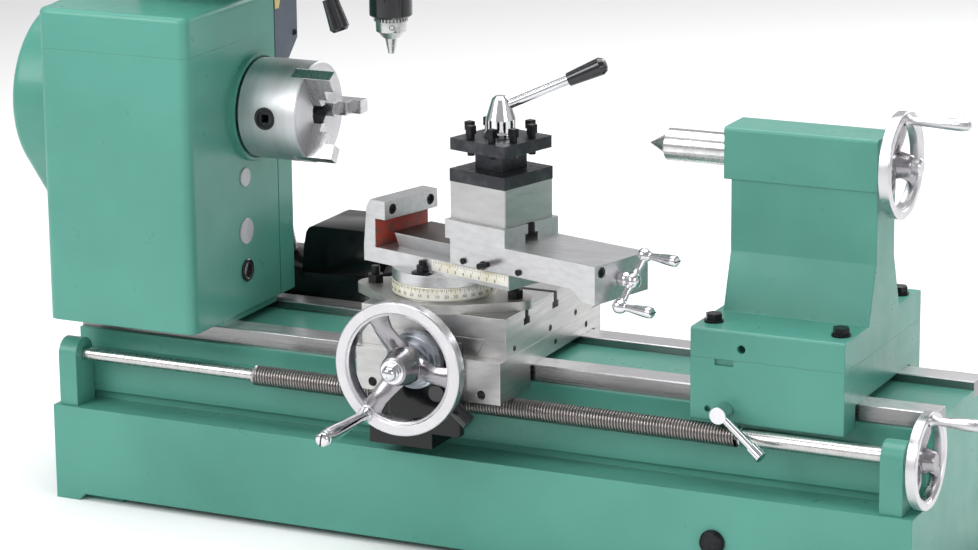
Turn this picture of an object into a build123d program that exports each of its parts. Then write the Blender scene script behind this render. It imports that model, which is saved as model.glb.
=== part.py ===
"""Bench combination lathe: bed, geared headstock, carriage, swivelling compound, tailstock, drill head.

Millimetres. X runs along the bed towards the tailstock, +Z is up and the operator stands at -Y.
The origin is the centre of the four bench-bolt holes, on the underside of the bed's feet.
"""
from build123d import *
from math import cos, sin, radians
import os

# ---- driving dimensions ------------------------------------------------------------------------
BED_LENGTH = 902
BED_HALF_DEPTH = 130
WAY_TOP = 180                 # top of both ways above the feet
WAY_OUTER = 69.5              # outer edge of each way from the middle of the bed
WAY_WIDTH = 28
WAY_THICK = 16
CENTRE_HEIGHT = 210           # spindle axis above the ways
AXIS_Z = WAY_TOP + CENTRE_HEIGHT
RUN_GAP = 0.05                # radial running clearance of shafts in their bores
FREE_GAP = 0.3                # clearance between parts that slide past each other
BENCH_HOLES = (820, 200)      # spacing of the bench bolts along X and Y
BENCH_HOLE_R = 6

BED_LEFT = -BED_LENGTH / 2
BED_RIGHT = BED_LENGTH / 2
HEAD_RIGHT = -284             # right face of the headstock
HEAD_FRONT = -132
HEAD_BACK = 42
HEAD_SEAM = 460               # joint between the headstock and the casting on top of it
HEAD_TOP = 500
SPINDLE_R = 25
SPINDLE_BORE_R = 13.5

CHUCK_R = 50
CHUCK_BACK = -268             # rear face of the chuck body, against its backplate
CHUCK_FACE = -212
JAW_WIDTH = 13
JAW_ANGLES = (-30, 90, 210)   # from +Z towards +Y

SCREW_Y = -110                # leadscrew axis
SCREW_Z = 148
SCREW_R = 10

MOTOR_Y, MOTOR_Z, MOTOR_R = 150, 156, 58
MOTOR_LEFT, MOTOR_RIGHT = -349, -169

SADDLE_X = (-101, 50)
SADDLE_Y = (-142, 90)
SADDLE_TOP = 200
WHEEL_X, WHEEL_Z = -26, 202   # cross-feed screw axis
WHEEL_R = 64
WHEEL_FACE = -207             # front of the handwheel's rim
SLIDE_Y = (-129, 71)
SLIDE_TOP = 239
DOVE_TOP, DOVE_FOOT = 54.5, 45

SWIVEL = (-36, -82)           # vertical axis of the compound rest
SWIVEL_ANGLE = -16.1
RING_R = 50
RING_Z = (248, 262)
BAR_Z = (273, 288)
BAR_HALF = 37
COMPOUND_SCREW_Z = 295
POST_D = 73                   # tool post axis along the compound from the swivel axis

TAIL_X = (226, 376)
TAIL_FRONT = -105
TAIL_SEAM = 218
TAIL_BASE_TOP = 246
QUILL_R = 15.5
TIP_X = 141                   # point of the dead centre

MILL_X = -131                 # axis of the drill spindle, in the plane Y = 0
COLUMN_X = -369
MILL_BOTTOM = 555
MILL_TOP = 735
MILL_QUILL_R = 27
FEED_X, FEED_Z = -180, 630    # shaft of the quill feed levers
FEED_ANGLES = (-70, 50, 170)  # from +X, seen from the operator

os.makedirs("parts", exist_ok=True)

compound = Plane(origin=(*SWIVEL, 0), x_dir=(cos(radians(SWIVEL_ANGLE)), sin(radians(SWIVEL_ANGLE)), 0),
                 z_dir=(0, 0, 1))


# ---- shared shapes -----------------------------------------------------------------------------
def save(builder, label):
    """Name a finished piece and write it to its own file."""
    builder.part.label = label
    export_step(builder.part, f"parts/{label}.step")


def slab(x, y, z, mode=Mode.ADD, base=Plane.XY, corner=0):
    """A block between two x, two y and two z values of the base plane, with rounded upright edges."""
    with BuildSketch(base.offset(z[0])) as outline:
        with Locations(((x[0] + x[1]) / 2, (y[0] + y[1]) / 2)):
            if corner:
                RectangleRounded(x[1] - x[0], y[1] - y[0], corner)
            else:
                Rectangle(x[1] - x[0], y[1] - y[0])
    extrude(outline.sketch, amount=z[1] - z[0], mode=mode)


def disc(plane, centre, radius, length, mode=Mode.ADD):
    """A round bar from the plane, its centre given in the plane's own coordinates."""
    with BuildSketch(plane) as circle:
        with Locations(centre):
            Circle(radius)
    extrude(circle.sketch, amount=length, mode=mode)


def bar_x(x, y, z, radius, mode=Mode.ADD):
    """A round bar along X between two x values."""
    disc(Plane.YZ.offset(x[0]), (y, z), radius, x[1] - x[0], mode)


def bar_y(y, x, z, radius, mode=Mode.ADD):
    """A round bar along Y between two y values, the first the higher one."""
    disc(Plane.XZ.offset(-y[0]), (x, z), radius, y[0] - y[1], mode)


def bar_z(z, x, y, radius, mode=Mode.ADD):
    """A round bar along Z between two z values."""
    disc(Plane.XY.offset(z[0]), (x, y), radius, z[1] - z[0], mode)


def prism(plane, points, length, mode=Mode.ADD):
    """A closed outline of straight edges, drawn on the plane and extruded from it."""
    with BuildSketch(plane) as outline:
        with BuildLine():
            Polyline(*points, close=True)
        make_face()
    extrude(outline.sketch, amount=length, mode=mode)


def turned(points, origin, direction, mode=Mode.ADD):
    """A turned piece: half its section, as (distance along the axis, radius), revolved about that axis."""
    along = Vector(direction)
    side = along.cross(Vector(0, 0, 1)) if abs(along.Z) < 0.9 else Vector(0, -1, 0)
    with BuildSketch(Plane(origin=origin, x_dir=along, z_dir=side)) as outline:
        with BuildLine():
            Polyline(*points, close=True)
        make_face()
    revolve(outline.sketch, axis=Axis(origin, direction), mode=mode)


# ---- bed ---------------------------------------------------------------------------------------
SHOULDER_Z = 97               # top of the wide lower box of the bed
HINGE = (-453, 214)           # upright pin behind the bed that the belt cover swings on
HINGE_PIN_R = 3
HINGE_LUG_TOP = 110
RAIL_FACE = 75                # outer face of the upper rail that carries each way
WALL = 12
way_seat = WAY_TOP - WAY_THICK
way_inner = WAY_OUTER - WAY_WIDTH
deck = WAY_TOP - 8

with BuildPart() as bed_casting:
    bed_outline = [
        (-BED_HALF_DEPTH, 0), (-BED_HALF_DEPTH, SHOULDER_Z), (-88, SHOULDER_Z), (-88, 105), (-92, 105),
        (-92, 139), (-RAIL_FACE, 146), (-RAIL_FACE, way_seat), (-way_inner, way_seat), (-way_inner, deck),
        (way_inner, deck), (way_inner, way_seat), (RAIL_FACE, way_seat), (RAIL_FACE, 108),
        (92, SHOULDER_Z), (BED_HALF_DEPTH, SHOULDER_Z), (BED_HALF_DEPTH, 0)]
    prism(Plane.YZ.offset(BED_LEFT), bed_outline, BED_LENGTH)
    inner = BED_HALF_DEPTH - WALL
    slab((BED_LEFT + WALL, BED_RIGHT - WALL), (-inner, inner), (0, SHOULDER_Z - WALL), Mode.SUBTRACT)
    slab((BED_LEFT + WALL, BED_RIGHT - WALL), (-60, 60), (SHOULDER_Z - WALL, way_seat - WALL), Mode.SUBTRACT)
    arch = [(BED_LEFT + 26, 0), (BED_LEFT + 33, 7), (BED_RIGHT - 33, 7), (BED_RIGHT - 26, 0)]
    prism(Plane.XZ.offset(-BED_HALF_DEPTH - 1), arch, 2 * BED_HALF_DEPTH + 2, Mode.SUBTRACT)
    for side_x in (-1, 1):
        for side_y in (-1, 1):
            corner_x = sorted((side_x * 380, side_x * (BED_RIGHT - WALL)))
            corner_y = sorted((side_y * 80, side_y * inner))
            slab(corner_x, corner_y, (0, 30))
    for hole_x in (-BENCH_HOLES[0] / 2, BENCH_HOLES[0] / 2):
        for hole_y in (-BENCH_HOLES[1] / 2, BENCH_HOLES[1] / 2):
            bar_z((0, 24), hole_x, hole_y, BENCH_HOLE_R, Mode.SUBTRACT)
    slab((BED_LEFT + 4, BED_LEFT + 14), (BED_HALF_DEPTH, HINGE[1] + 6), (45, 88))
    slab((HINGE[0] - 6, BED_LEFT + 4), (HINGE[1] - 6, HINGE[1] + 6), (45, HINGE_LUG_TOP))
    bar_z((HINGE_LUG_TOP, 196), *HINGE, HINGE_PIN_R)
save(bed_casting, "bed_casting")

with BuildPart() as bed_ways:
    for side in (-1, 1):
        way_y = sorted((side * way_inner, side * WAY_OUTER))
        slab((BED_LEFT, BED_RIGHT), way_y, (way_seat, WAY_TOP))
    chamfer(bed_ways.edges().filter_by(Axis.X).group_by(Axis.Z)[-1], 0.8)
save(bed_ways, "bed_ways")

with BuildPart() as oil_fittings:
    fitting_y = -25
    for height, radius in ((323, 9.5), (268, 13), (228, 11.5)):
        bar_x((HEAD_RIGHT, HEAD_RIGHT + 1.5), fitting_y, height, radius)
    bar_y((-BED_HALF_DEPTH, -BED_HALF_DEPTH - 6), 259, 50, 11.5)
save(oil_fittings, "oil_fittings")

# ---- headstock ---------------------------------------------------------------------------------
HEAD_WALL = 12
FOOT_Z = WAY_TOP + 7

with BuildPart() as headstock_casting:
    slab((BED_LEFT + 3, HEAD_RIGHT - 3), (-way_inner - WAY_WIDTH, HEAD_BACK - 3), (WAY_TOP, FOOT_Z))
    slab((BED_LEFT, HEAD_RIGHT), (HEAD_FRONT, HEAD_BACK), (FOOT_Z, HEAD_SEAM))
    fillet(headstock_casting.edges().filter_by(Axis.Z).group_by(Axis.Y)[0], 10)
    slab((BED_LEFT + HEAD_WALL, HEAD_RIGHT - HEAD_WALL), (HEAD_FRONT + HEAD_WALL, HEAD_BACK - HEAD_WALL),
         (FOOT_Z + HEAD_WALL, HEAD_SEAM), Mode.SUBTRACT)
    bar_x((HEAD_RIGHT - 30, HEAD_RIGHT), 0, AXIS_Z, 40)
    bar_x((BED_LEFT, BED_LEFT + 30), 0, AXIS_Z, 40)
    bar_x((HEAD_RIGHT, HEAD_RIGHT + 6), 0, AXIS_Z, 54)
    bar_x((HEAD_RIGHT, HEAD_RIGHT + 6), 0, AXIS_Z, 50.5, Mode.SUBTRACT)
    bar_x((BED_LEFT, HEAD_RIGHT), 0, AXIS_Z, SPINDLE_R + RUN_GAP, Mode.SUBTRACT)
save(headstock_casting, "headstock_casting")

with BuildPart() as headstock_top:
    slab((BED_LEFT, HEAD_RIGHT), (HEAD_FRONT, HEAD_BACK), (HEAD_SEAM, HEAD_TOP))
    fillet(headstock_top.edges().filter_by(Axis.Z).group_by(Axis.Y)[0], 10)
    fillet(headstock_top.faces().sort_by(Axis.Z)[-1].edges().sort_by(Axis.Y)[0], 6)
    slab((BED_LEFT + HEAD_WALL, HEAD_RIGHT - HEAD_WALL), (HEAD_FRONT + HEAD_WALL, HEAD_BACK - HEAD_WALL),
         (HEAD_SEAM, HEAD_TOP - 14), Mode.SUBTRACT)
save(headstock_top, "headstock_top")

with BuildPart() as rear_housing:
    housing_y = (HEAD_BACK + 1.5, 72)
    slab((BED_LEFT + 4, HEAD_RIGHT), housing_y, (FOOT_Z, 426))
    slab((BED_LEFT + 4, HEAD_RIGHT - 10), (HEAD_BACK + 1.5, 66), (FOOT_Z + 6, 420), Mode.SUBTRACT)
save(rear_housing, "rear_housing")

with BuildPart() as control_box:
    box_outline = [(HEAD_BACK + 1.5, 426.5), (72, 426.5), (90, 444), (90, 540), (HEAD_BACK + 1.5, 540)]
    prism(Plane.YZ.offset(-420), box_outline, 420 + HEAD_RIGHT)
    fillet(control_box.edges().filter_by(Axis.X).group_by(Axis.Z)[-1], 3)
save(control_box, "control_box")

# ---- belt drive --------------------------------------------------------------------------------
BELT_X = -476                 # left face of the belt
PULLEY_X = (-492, -462)
SPINDLE_PULLEY_R = 60
MOTOR_PULLEY_R = 24
BELT_GROOVE = 7
COVER_WALL = 3
cover_x = (-512, BED_LEFT - 2)


def around_pulleys(plane, spindle_radius, motor_radius, length, mode=Mode.ADD):
    """The outline of a band drawn tight round both pulleys, extruded from the plane."""
    with BuildSketch(plane) as band:
        with BuildSketch(plane, mode=Mode.PRIVATE) as rounds:
            with Locations((0, AXIS_Z)):
                Circle(spindle_radius)
            with Locations((MOTOR_Y, MOTOR_Z)):
                Circle(motor_radius)
        make_hull(rounds.edges())
    extrude(band.sketch, amount=length, mode=mode)


with BuildPart() as belt_cover:
    around_pulleys(Plane.YZ.offset(cover_x[0]), 92, 62, cover_x[1] - cover_x[0])
    fillet(belt_cover.faces().sort_by(Axis.X)[0].edges(), 8)
    around_pulleys(Plane.YZ.offset(cover_x[0] + COVER_WALL), 92 - COVER_WALL, 62 - COVER_WALL,
                   cover_x[1] - cover_x[0] - COVER_WALL, Mode.SUBTRACT)
    knuckle_z = (HINGE_LUG_TOP + 2, 190)
    bar_z(knuckle_z, *HINGE, 6)
    bar_z(knuckle_z, *HINGE, HINGE_PIN_R + RUN_GAP, Mode.SUBTRACT)
save(belt_cover, "belt_cover")

belt_mid = (PULLEY_X[0] + PULLEY_X[1]) / 2


def pulley_outline(radius, bore):
    """Half section of a grooved pulley, as distance from its axis against X."""
    return [(PULLEY_X[0], bore), (PULLEY_X[0], radius), (belt_mid - 7, radius),
            (belt_mid - 4, radius - BELT_GROOVE), (belt_mid + 4, radius - BELT_GROOVE),
            (belt_mid + 7, radius), (PULLEY_X[1], radius), (PULLEY_X[1], bore)]


with BuildPart() as spindle_pulley:
    turned(pulley_outline(SPINDLE_PULLEY_R, SPINDLE_R), (0, 0, AXIS_Z), (1, 0, 0))
save(spindle_pulley, "spindle_pulley")

with BuildPart() as motor_pulley:
    turned(pulley_outline(MOTOR_PULLEY_R, 0), (0, MOTOR_Y, MOTOR_Z), (1, 0, 0))
    bar_x((PULLEY_X[1], MOTOR_LEFT + 20), MOTOR_Y, MOTOR_Z, 8)
save(motor_pulley, "motor_pulley")

with BuildPart() as drive_belt:
    floor_gap = BELT_GROOVE - 0.4
    around_pulleys(Plane.YZ.offset(belt_mid - 3.5), SPINDLE_PULLEY_R + 2, MOTOR_PULLEY_R + 2, 7)
    around_pulleys(Plane.YZ.offset(belt_mid - 3.5), SPINDLE_PULLEY_R - floor_gap,
                   MOTOR_PULLEY_R - floor_gap, 7, Mode.SUBTRACT)
save(drive_belt, "drive_belt")

with BuildPart() as motor_body:
    bar_x((MOTOR_LEFT, MOTOR_RIGHT), MOTOR_Y, MOTOR_Z, MOTOR_R)
    fillet(motor_body.faces().filter_by(Plane.YZ).edges(), 8)
    slab((-310, -210), (BED_HALF_DEPTH, MOTOR_Y), (40, MOTOR_Z - 20))
    bar_x((MOTOR_LEFT, MOTOR_LEFT + 22), MOTOR_Y, MOTOR_Z, 8 + RUN_GAP, Mode.SUBTRACT)
save(motor_body, "motor_body")

with BuildPart() as motor_cover:
    slab((-303, -205), (MOTOR_Y - 40, MOTOR_Y + 40), (170, 243), corner=12)
    fillet(motor_cover.faces().sort_by(Axis.Z)[-1].edges(), 10)
    bar_x((MOTOR_LEFT, MOTOR_RIGHT), MOTOR_Y, MOTOR_Z, MOTOR_R, Mode.SUBTRACT)
save(motor_cover, "motor_cover")

CONDUIT_R = 7
conduit_route = [(-346, 72, 258), (-346, 116, 258), (-304, 122, 256), (-320, 132, 205)]
with BuildPart() as conduit:
    with BuildLine():
        FilletPolyline(*conduit_route, radius=(18, 14))
    with BuildSketch(Plane(origin=conduit_route[0], z_dir=(0, 1, 0))):
        Circle(CONDUIT_R)
    sweep()
    bar_x((MOTOR_LEFT, MOTOR_RIGHT), MOTOR_Y, MOTOR_Z, MOTOR_R, Mode.SUBTRACT)
save(conduit, "conduit")

# ---- spindle and chuck -------------------------------------------------------------------------
spindle_x = (-500, CHUCK_BACK)

with BuildPart() as spindle:
    bar_x(spindle_x, 0, AXIS_Z, SPINDLE_R)
    bar_x(spindle_x, 0, AXIS_Z, SPINDLE_BORE_R, Mode.SUBTRACT)
    chamfer(spindle.faces().sort_by(Axis.X)[0].edges(), 1)
save(spindle, "spindle")

with BuildPart() as chuck_backplate:
    bar_x((-276, CHUCK_BACK), 0, AXIS_Z, CHUCK_R - 0.6)
    bar_x((-276, CHUCK_BACK), 0, AXIS_Z, SPINDLE_R, Mode.SUBTRACT)
save(chuck_backplate, "chuck_backplate")

PINION_X = -246
PINION_R = 11
JAW_ROOT = 14
JAW_TOP = CHUCK_FACE + 28
JAW_TIP = 10                  # radius of the innermost point of each jaw
JAW_BEVEL = 0.6               # how far the flanks of that point run back for each millimetre across


def jaw_plane(angle):
    """Plane with its x axis along the spindle and its y axis along one jaw's radius."""
    across = (0, -cos(radians(angle)), sin(radians(angle)))
    return Plane(origin=(0, 0, AXIS_Z), x_dir=(1, 0, 0), z_dir=across)


with BuildPart() as chuck_body:
    bar_x((CHUCK_BACK, CHUCK_FACE), 0, AXIS_Z, CHUCK_R)
    chamfer(chuck_body.faces().sort_by(Axis.X)[-1].edges(), 1.2)
    bar_x((CHUCK_BACK, CHUCK_FACE), 0, AXIS_Z, SPINDLE_BORE_R + 0.5, Mode.SUBTRACT)
    slot_half = JAW_WIDTH / 2 + 0.1
    for jaw_angle in JAW_ANGLES:
        slot = [(CHUCK_FACE - JAW_ROOT - 0.2, 0), (CHUCK_FACE - JAW_ROOT - 0.2, 60),
                (CHUCK_FACE + 1, 60), (CHUCK_FACE + 1, 0)]
        prism(jaw_plane(jaw_angle).offset(-slot_half), slot, 2 * slot_half, Mode.SUBTRACT)
    bar_y((-22, -CHUCK_R - 2), PINION_X, AXIS_Z, PINION_R + RUN_GAP, Mode.SUBTRACT)
save(chuck_body, "chuck_body")

jaw_steps = [(CHUCK_FACE - JAW_ROOT, 10), (CHUCK_FACE + 9, 10), (CHUCK_FACE + 9, 22),
             (CHUCK_FACE + 18, 22), (CHUCK_FACE + 18, 34), (JAW_TOP, 34), (JAW_TOP, 49),
             (CHUCK_FACE - JAW_ROOT, 49)]
for jaw_number, jaw_angle in enumerate(JAW_ANGLES, 1):
    with BuildPart() as chuck_jaw:
        prism(jaw_plane(jaw_angle).offset(-JAW_WIDTH / 2), jaw_steps, JAW_WIDTH)
        radial = jaw_plane(jaw_angle)
        end_view = Plane(origin=radial.origin, x_dir=radial.y_dir, z_dir=radial.x_dir)
        for side in (-1, 1):
            tip = [(JAW_TIP, 0), (JAW_TIP, side * JAW_WIDTH),
                   (JAW_TIP + JAW_WIDTH * JAW_BEVEL, side * JAW_WIDTH)]
            prism(end_view.offset(CHUCK_FACE - JAW_ROOT), tip, JAW_ROOT + 9, Mode.SUBTRACT)
    save(chuck_jaw, f"chuck_jaw_{jaw_number}")

with BuildPart() as chuck_pinion:
    bar_y((-23, -49), PINION_X, AXIS_Z, PINION_R)
    socket = 8
    slab((PINION_X - socket / 2, PINION_X + socket / 2), (-50, -36),
         (AXIS_Z - socket / 2, AXIS_Z + socket / 2), Mode.SUBTRACT)
save(chuck_pinion, "chuck_pinion")

# ---- leadscrew ---------------------------------------------------------------------------------
BRACKET_LEFT = (-445, -425)
BRACKET_RIGHT = (418, 440)

with BuildPart() as leadscrew:
    bar_x((-440, -230), SCREW_Y, SCREW_Z, 6.25)
    bar_x((-230, 280), SCREW_Y, SCREW_Z, SCREW_R)
    bar_x((280, 462), SCREW_Y, SCREW_Z, 7.8)
save(leadscrew, "leadscrew")

with BuildPart() as leadscrew_brackets:
    for span, bore in ((BRACKET_LEFT, 6.25), (BRACKET_RIGHT, 7.8)):
        slab(span, (SCREW_Y - 16, -93), (SHOULDER_Z, SCREW_Z))
        bar_x(span, SCREW_Y, SCREW_Z, 16)
        bar_x(span, SCREW_Y, SCREW_Z, bore + RUN_GAP, Mode.SUBTRACT)
save(leadscrew_brackets, "leadscrew_brackets")


def spoked_wheel(plane, centre, rim_radius, rim_width, hub_radius, hub_length, rim_depth, spoke_angles):
    """Hub, rim and spokes of a handwheel whose hub starts on the plane and whose rim is at mid hub."""
    middle = (hub_length - rim_depth) / 2
    disc(plane, centre, hub_radius, hub_length)
    with BuildSketch(plane.offset(middle)) as rim:
        with Locations(centre):
            Circle(rim_radius)
            Circle(rim_radius - rim_width, mode=Mode.SUBTRACT)
    extrude(rim.sketch, amount=rim_depth)
    for angle in spoke_angles:
        reach = rim_radius - rim_width / 2
        with BuildSketch(plane.offset(middle + rim_depth * 0.2)) as spoke:
            with Locations(Location((*centre, 0), (0, 0, angle))):
                with Locations((reach / 2, 0)):
                    Rectangle(reach, hub_radius * 0.8)
        extrude(spoke.sketch, amount=rim_depth * 0.6)


with BuildPart() as leadscrew_handwheel:
    spoked_wheel(Plane.YZ.offset(446), (SCREW_Y, SCREW_Z), 45, 10, 12, 20, 10, (90, 210, 330))
    bar_x((460, 506), SCREW_Y, SCREW_Z + 38, 6)
    bar_x((440, 470), SCREW_Y, SCREW_Z, 7.8, Mode.SUBTRACT)
save(leadscrew_handwheel, "leadscrew_handwheel")

# ---- carriage ----------------------------------------------------------------------------------
mid_x = (SADDLE_X[0] + SADDLE_X[1]) / 2
lift = 0.1                    # oil film between slides and their ways

with BuildPart() as saddle:
    slab(SADDLE_X, SADDLE_Y, (WAY_TOP + lift, SADDLE_TOP))
    slab(SADDLE_X, (SADDLE_Y[0], -RAIL_FACE - FREE_GAP), (SCREW_Z + SCREW_R + 1, WAY_TOP + lift))
    slab(SADDLE_X, (RAIL_FACE + FREE_GAP, SADDLE_Y[1]), (150, WAY_TOP + lift))
    dove = [(mid_x - DOVE_FOOT + FREE_GAP, SADDLE_TOP), (mid_x - DOVE_TOP + FREE_GAP, SLIDE_TOP - 21.3),
            (mid_x + DOVE_TOP - FREE_GAP, SLIDE_TOP - 21.3), (mid_x + DOVE_FOOT - FREE_GAP, SADDLE_TOP)]
    prism(Plane.XZ.offset(-SADDLE_Y[1] + 10), dove, SADDLE_Y[1] - 10 - SLIDE_Y[0])
    slab((WHEEL_X - 12, WHEEL_X + 12), (SADDLE_Y[0], SADDLE_Y[1] - 20), (190, SLIDE_TOP), Mode.SUBTRACT)
    for hole_x in (-84, 30):
        bar_y((-122, SADDLE_Y[0]), hole_x, 167, 4.5, Mode.SUBTRACT)
    for hole_y in (-17, 55):
        bar_x((SADDLE_X[1] - 2.5, SADDLE_X[1]), hole_y, 189, 2.9, Mode.SUBTRACT)
save(saddle, "saddle")

APRON_X = (-84, -18)
APRON_FRONT = -152
LEVER_PIVOT = (-6, 170)
with BuildPart() as apron:
    slab(APRON_X, (APRON_FRONT + 2, -94), (110, SCREW_Z + SCREW_R + 1))
    slab((-64, 12), (APRON_FRONT, SADDLE_Y[0]), (126, 216))
    fillet(apron.edges().filter_by(Axis.Z).group_by(Axis.Y)[0], 4)
    bar_x((-90, 20), SCREW_Y, SCREW_Z, SCREW_R + FREE_GAP, Mode.SUBTRACT)
    bar_y((SADDLE_Y[0], APRON_FRONT), WHEEL_X, WHEEL_Z, 7 + RUN_GAP, Mode.SUBTRACT)
    bar_y((SADDLE_Y[0], APRON_FRONT), *LEVER_PIVOT, 3 + RUN_GAP, Mode.SUBTRACT)
save(apron, "apron")

with BuildPart() as half_nut_lever:
    bar_y((APRON_FRONT - FREE_GAP, -164), *LEVER_PIVOT, 8)
    lever_plane = Plane(origin=(LEVER_PIVOT[0], -160, LEVER_PIVOT[1]), z_dir=(0.78, 0, -0.62))
    disc(lever_plane, (0, 0), 4, 20)
    disc(lever_plane.offset(14), (0, 0), 7.5, 27)
    bar_y((SADDLE_Y[0] - 1, APRON_FRONT - 1), *LEVER_PIVOT, 3)
save(half_nut_lever, "half_nut_lever")

with BuildPart() as cross_screw:
    bar_y((50, WHEEL_FACE - 7), WHEEL_X, WHEEL_Z, 7)
    bar_y((WHEEL_FACE - 7, WHEEL_FACE - 19), WHEEL_X, WHEEL_Z, 9)
    fillet(cross_screw.faces().sort_by(Axis.Y)[0].edges(), 7)
save(cross_screw, "cross_screw")

with BuildPart() as cross_dial:
    bar_y((-152 - FREE_GAP, -160), WHEEL_X, WHEEL_Z, 21)
    bar_y((-160, -180), WHEEL_X, WHEEL_Z, 27)
    bar_y((-152, -180), WHEEL_X, WHEEL_Z, 7, Mode.SUBTRACT)
save(cross_dial, "cross_dial")

WHEEL_SPOKES = (355, 115, 235)
CRANK_R = 57.5
crank_x = WHEEL_X + CRANK_R * cos(radians(WHEEL_SPOKES[2]))
crank_z = WHEEL_Z + CRANK_R * sin(radians(WHEEL_SPOKES[2]))
with BuildPart() as cross_handwheel:
    spoked_wheel(Plane.XZ.offset(180), (WHEEL_X, WHEEL_Z), WHEEL_R, 13, 16, 34, 13, WHEEL_SPOKES)
    bar_y((-180, -214), WHEEL_X, WHEEL_Z, 7, Mode.SUBTRACT)
    bar_y((-190, -216), crank_x, crank_z, 3 + RUN_GAP, Mode.SUBTRACT)
save(cross_handwheel, "cross_handwheel")

with BuildPart() as crank_handle:
    turned([(191, 0), (191, 3), (204, 3), (204, 8), (207, 7.5), (214, 5), (240, 6), (270, 7.5), (288, 7),
            (294, 4), (294, 0)], (crank_x, 0, crank_z), (0, -1, 0))
save(crank_handle, "crank_handle")

SLOT_ROWS = (-82, -17, 45)
with BuildPart() as cross_slide:
    slab(SADDLE_X, SLIDE_Y, (SADDLE_TOP + lift, SLIDE_TOP))
    groove = [(mid_x - DOVE_FOOT, SADDLE_TOP), (mid_x - DOVE_TOP, SLIDE_TOP - 21),
              (mid_x + DOVE_TOP, SLIDE_TOP - 21), (mid_x + DOVE_FOOT, SADDLE_TOP)]
    prism(Plane.XZ.offset(-SLIDE_Y[1]), groove, SLIDE_Y[1] - SLIDE_Y[0], Mode.SUBTRACT)
    for row in SLOT_ROWS:
        slab(SADDLE_X, (row - 4, row + 4), (SLIDE_TOP - 16, SLIDE_TOP), Mode.SUBTRACT)
        slab(SADDLE_X, (row - 7, row + 7), (SLIDE_TOP - 16, SLIDE_TOP - 9), Mode.SUBTRACT)
    for hole_y in (-110, -29, 30):
        bar_x((SADDLE_X[1] - 2.5, SADDLE_X[1]), hole_y, 206.5, 2.9, Mode.SUBTRACT)
save(cross_slide, "cross_slide")

# ---- compound rest -----------------------------------------------------------------------------
EAR_REACH = 74
with BuildPart() as swivel_base:
    with BuildSketch(Plane.XY.offset(SLIDE_TOP)) as flange:
        with BuildSketch(Plane.XY.offset(SLIDE_TOP), mode=Mode.PRIVATE) as flange_rounds:
            with Locations(SWIVEL):
                Circle(60)
            with Locations((SWIVEL[0] - EAR_REACH, SWIVEL[1]), (SWIVEL[0] + EAR_REACH, SWIVEL[1])):
                Circle(17)
        make_hull(flange_rounds.edges())
    extrude(flange.sketch, amount=RING_Z[0] - SLIDE_TOP)
    bar_z(RING_Z, *SWIVEL, RING_R)
    bar_z((RING_Z[1], RING_Z[1] + 8), *SWIVEL, 15)
    for ear in (-1, 1):
        bar_z((SLIDE_TOP, RING_Z[0]), SWIVEL[0] + ear * EAR_REACH, SWIVEL[1], 4, Mode.SUBTRACT)
save(swivel_base, "swivel_base")

with BuildPart() as swivel_bolts:
    for ear in (-1, 1):
        bolt_x = SWIVEL[0] + ear * EAR_REACH
        slab((bolt_x - 6, bolt_x + 6), (SWIVEL[1] - 6, SWIVEL[1] + 6), (SLIDE_TOP - 15, SLIDE_TOP - 10))
        bar_z((SLIDE_TOP - 15, RING_Z[0] + 16), bolt_x, SWIVEL[1], 4)
        with BuildSketch(Plane.XY.offset(RING_Z[0])) as nut:
            with Locations((bolt_x, SWIVEL[1])):
                RegularPolygon(8, 6)
        extrude(nut.sketch, amount=8)
save(swivel_bolts, "swivel_bolts")

JAW_D = (-70, -42)            # upright jaw of the compound base, along the compound
LIP_SCREWS = (-26, 27)        # counterbored screws in its lip, across the compound
with BuildPart() as compound_base:
    slab((JAW_D[0], 114), (-BAR_HALF, BAR_HALF), BAR_Z, base=compound)
    bar_z((RING_Z[1] + lift, BAR_Z[0]), *SWIVEL, RING_R)
    bar_z((RING_Z[1], RING_Z[1] + 8 + lift), *SWIVEL, 15 + RUN_GAP, Mode.SUBTRACT)
    jaw_side = Plane(origin=compound.origin, x_dir=compound.x_dir, z_dir=-compound.y_dir).offset(-BAR_HALF)
    upright = [(JAW_D[0], BAR_Z[1]), (JAW_D[0] + 4, 326), (JAW_D[0] + 9, 334), (JAW_D[1], 334),
               (JAW_D[1], 316), (JAW_D[0] + 15, 316), (JAW_D[0] + 15, BAR_Z[1])]
    prism(jaw_side, upright, 2 * BAR_HALF)
    end_face = Plane(origin=compound.origin, x_dir=compound.y_dir, z_dir=compound.x_dir).offset(JAW_D[1] + 4)
    tongue = [(-22, BAR_Z[1]), (-28, BAR_Z[1] + 15), (28, BAR_Z[1] + 15), (22, BAR_Z[1])]
    prism(end_face, tongue, 114 - JAW_D[1] - 4)
    disc(end_face.offset(14), (0, COMPOUND_SCREW_Z), 6.5, 140, Mode.SUBTRACT)
    lip_face = end_face.offset(-4)
    for across in LIP_SCREWS:
        disc(lip_face.offset(-3), (across, 325), 5.2, 3, Mode.SUBTRACT)
save(compound_base, "compound_base")

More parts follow.
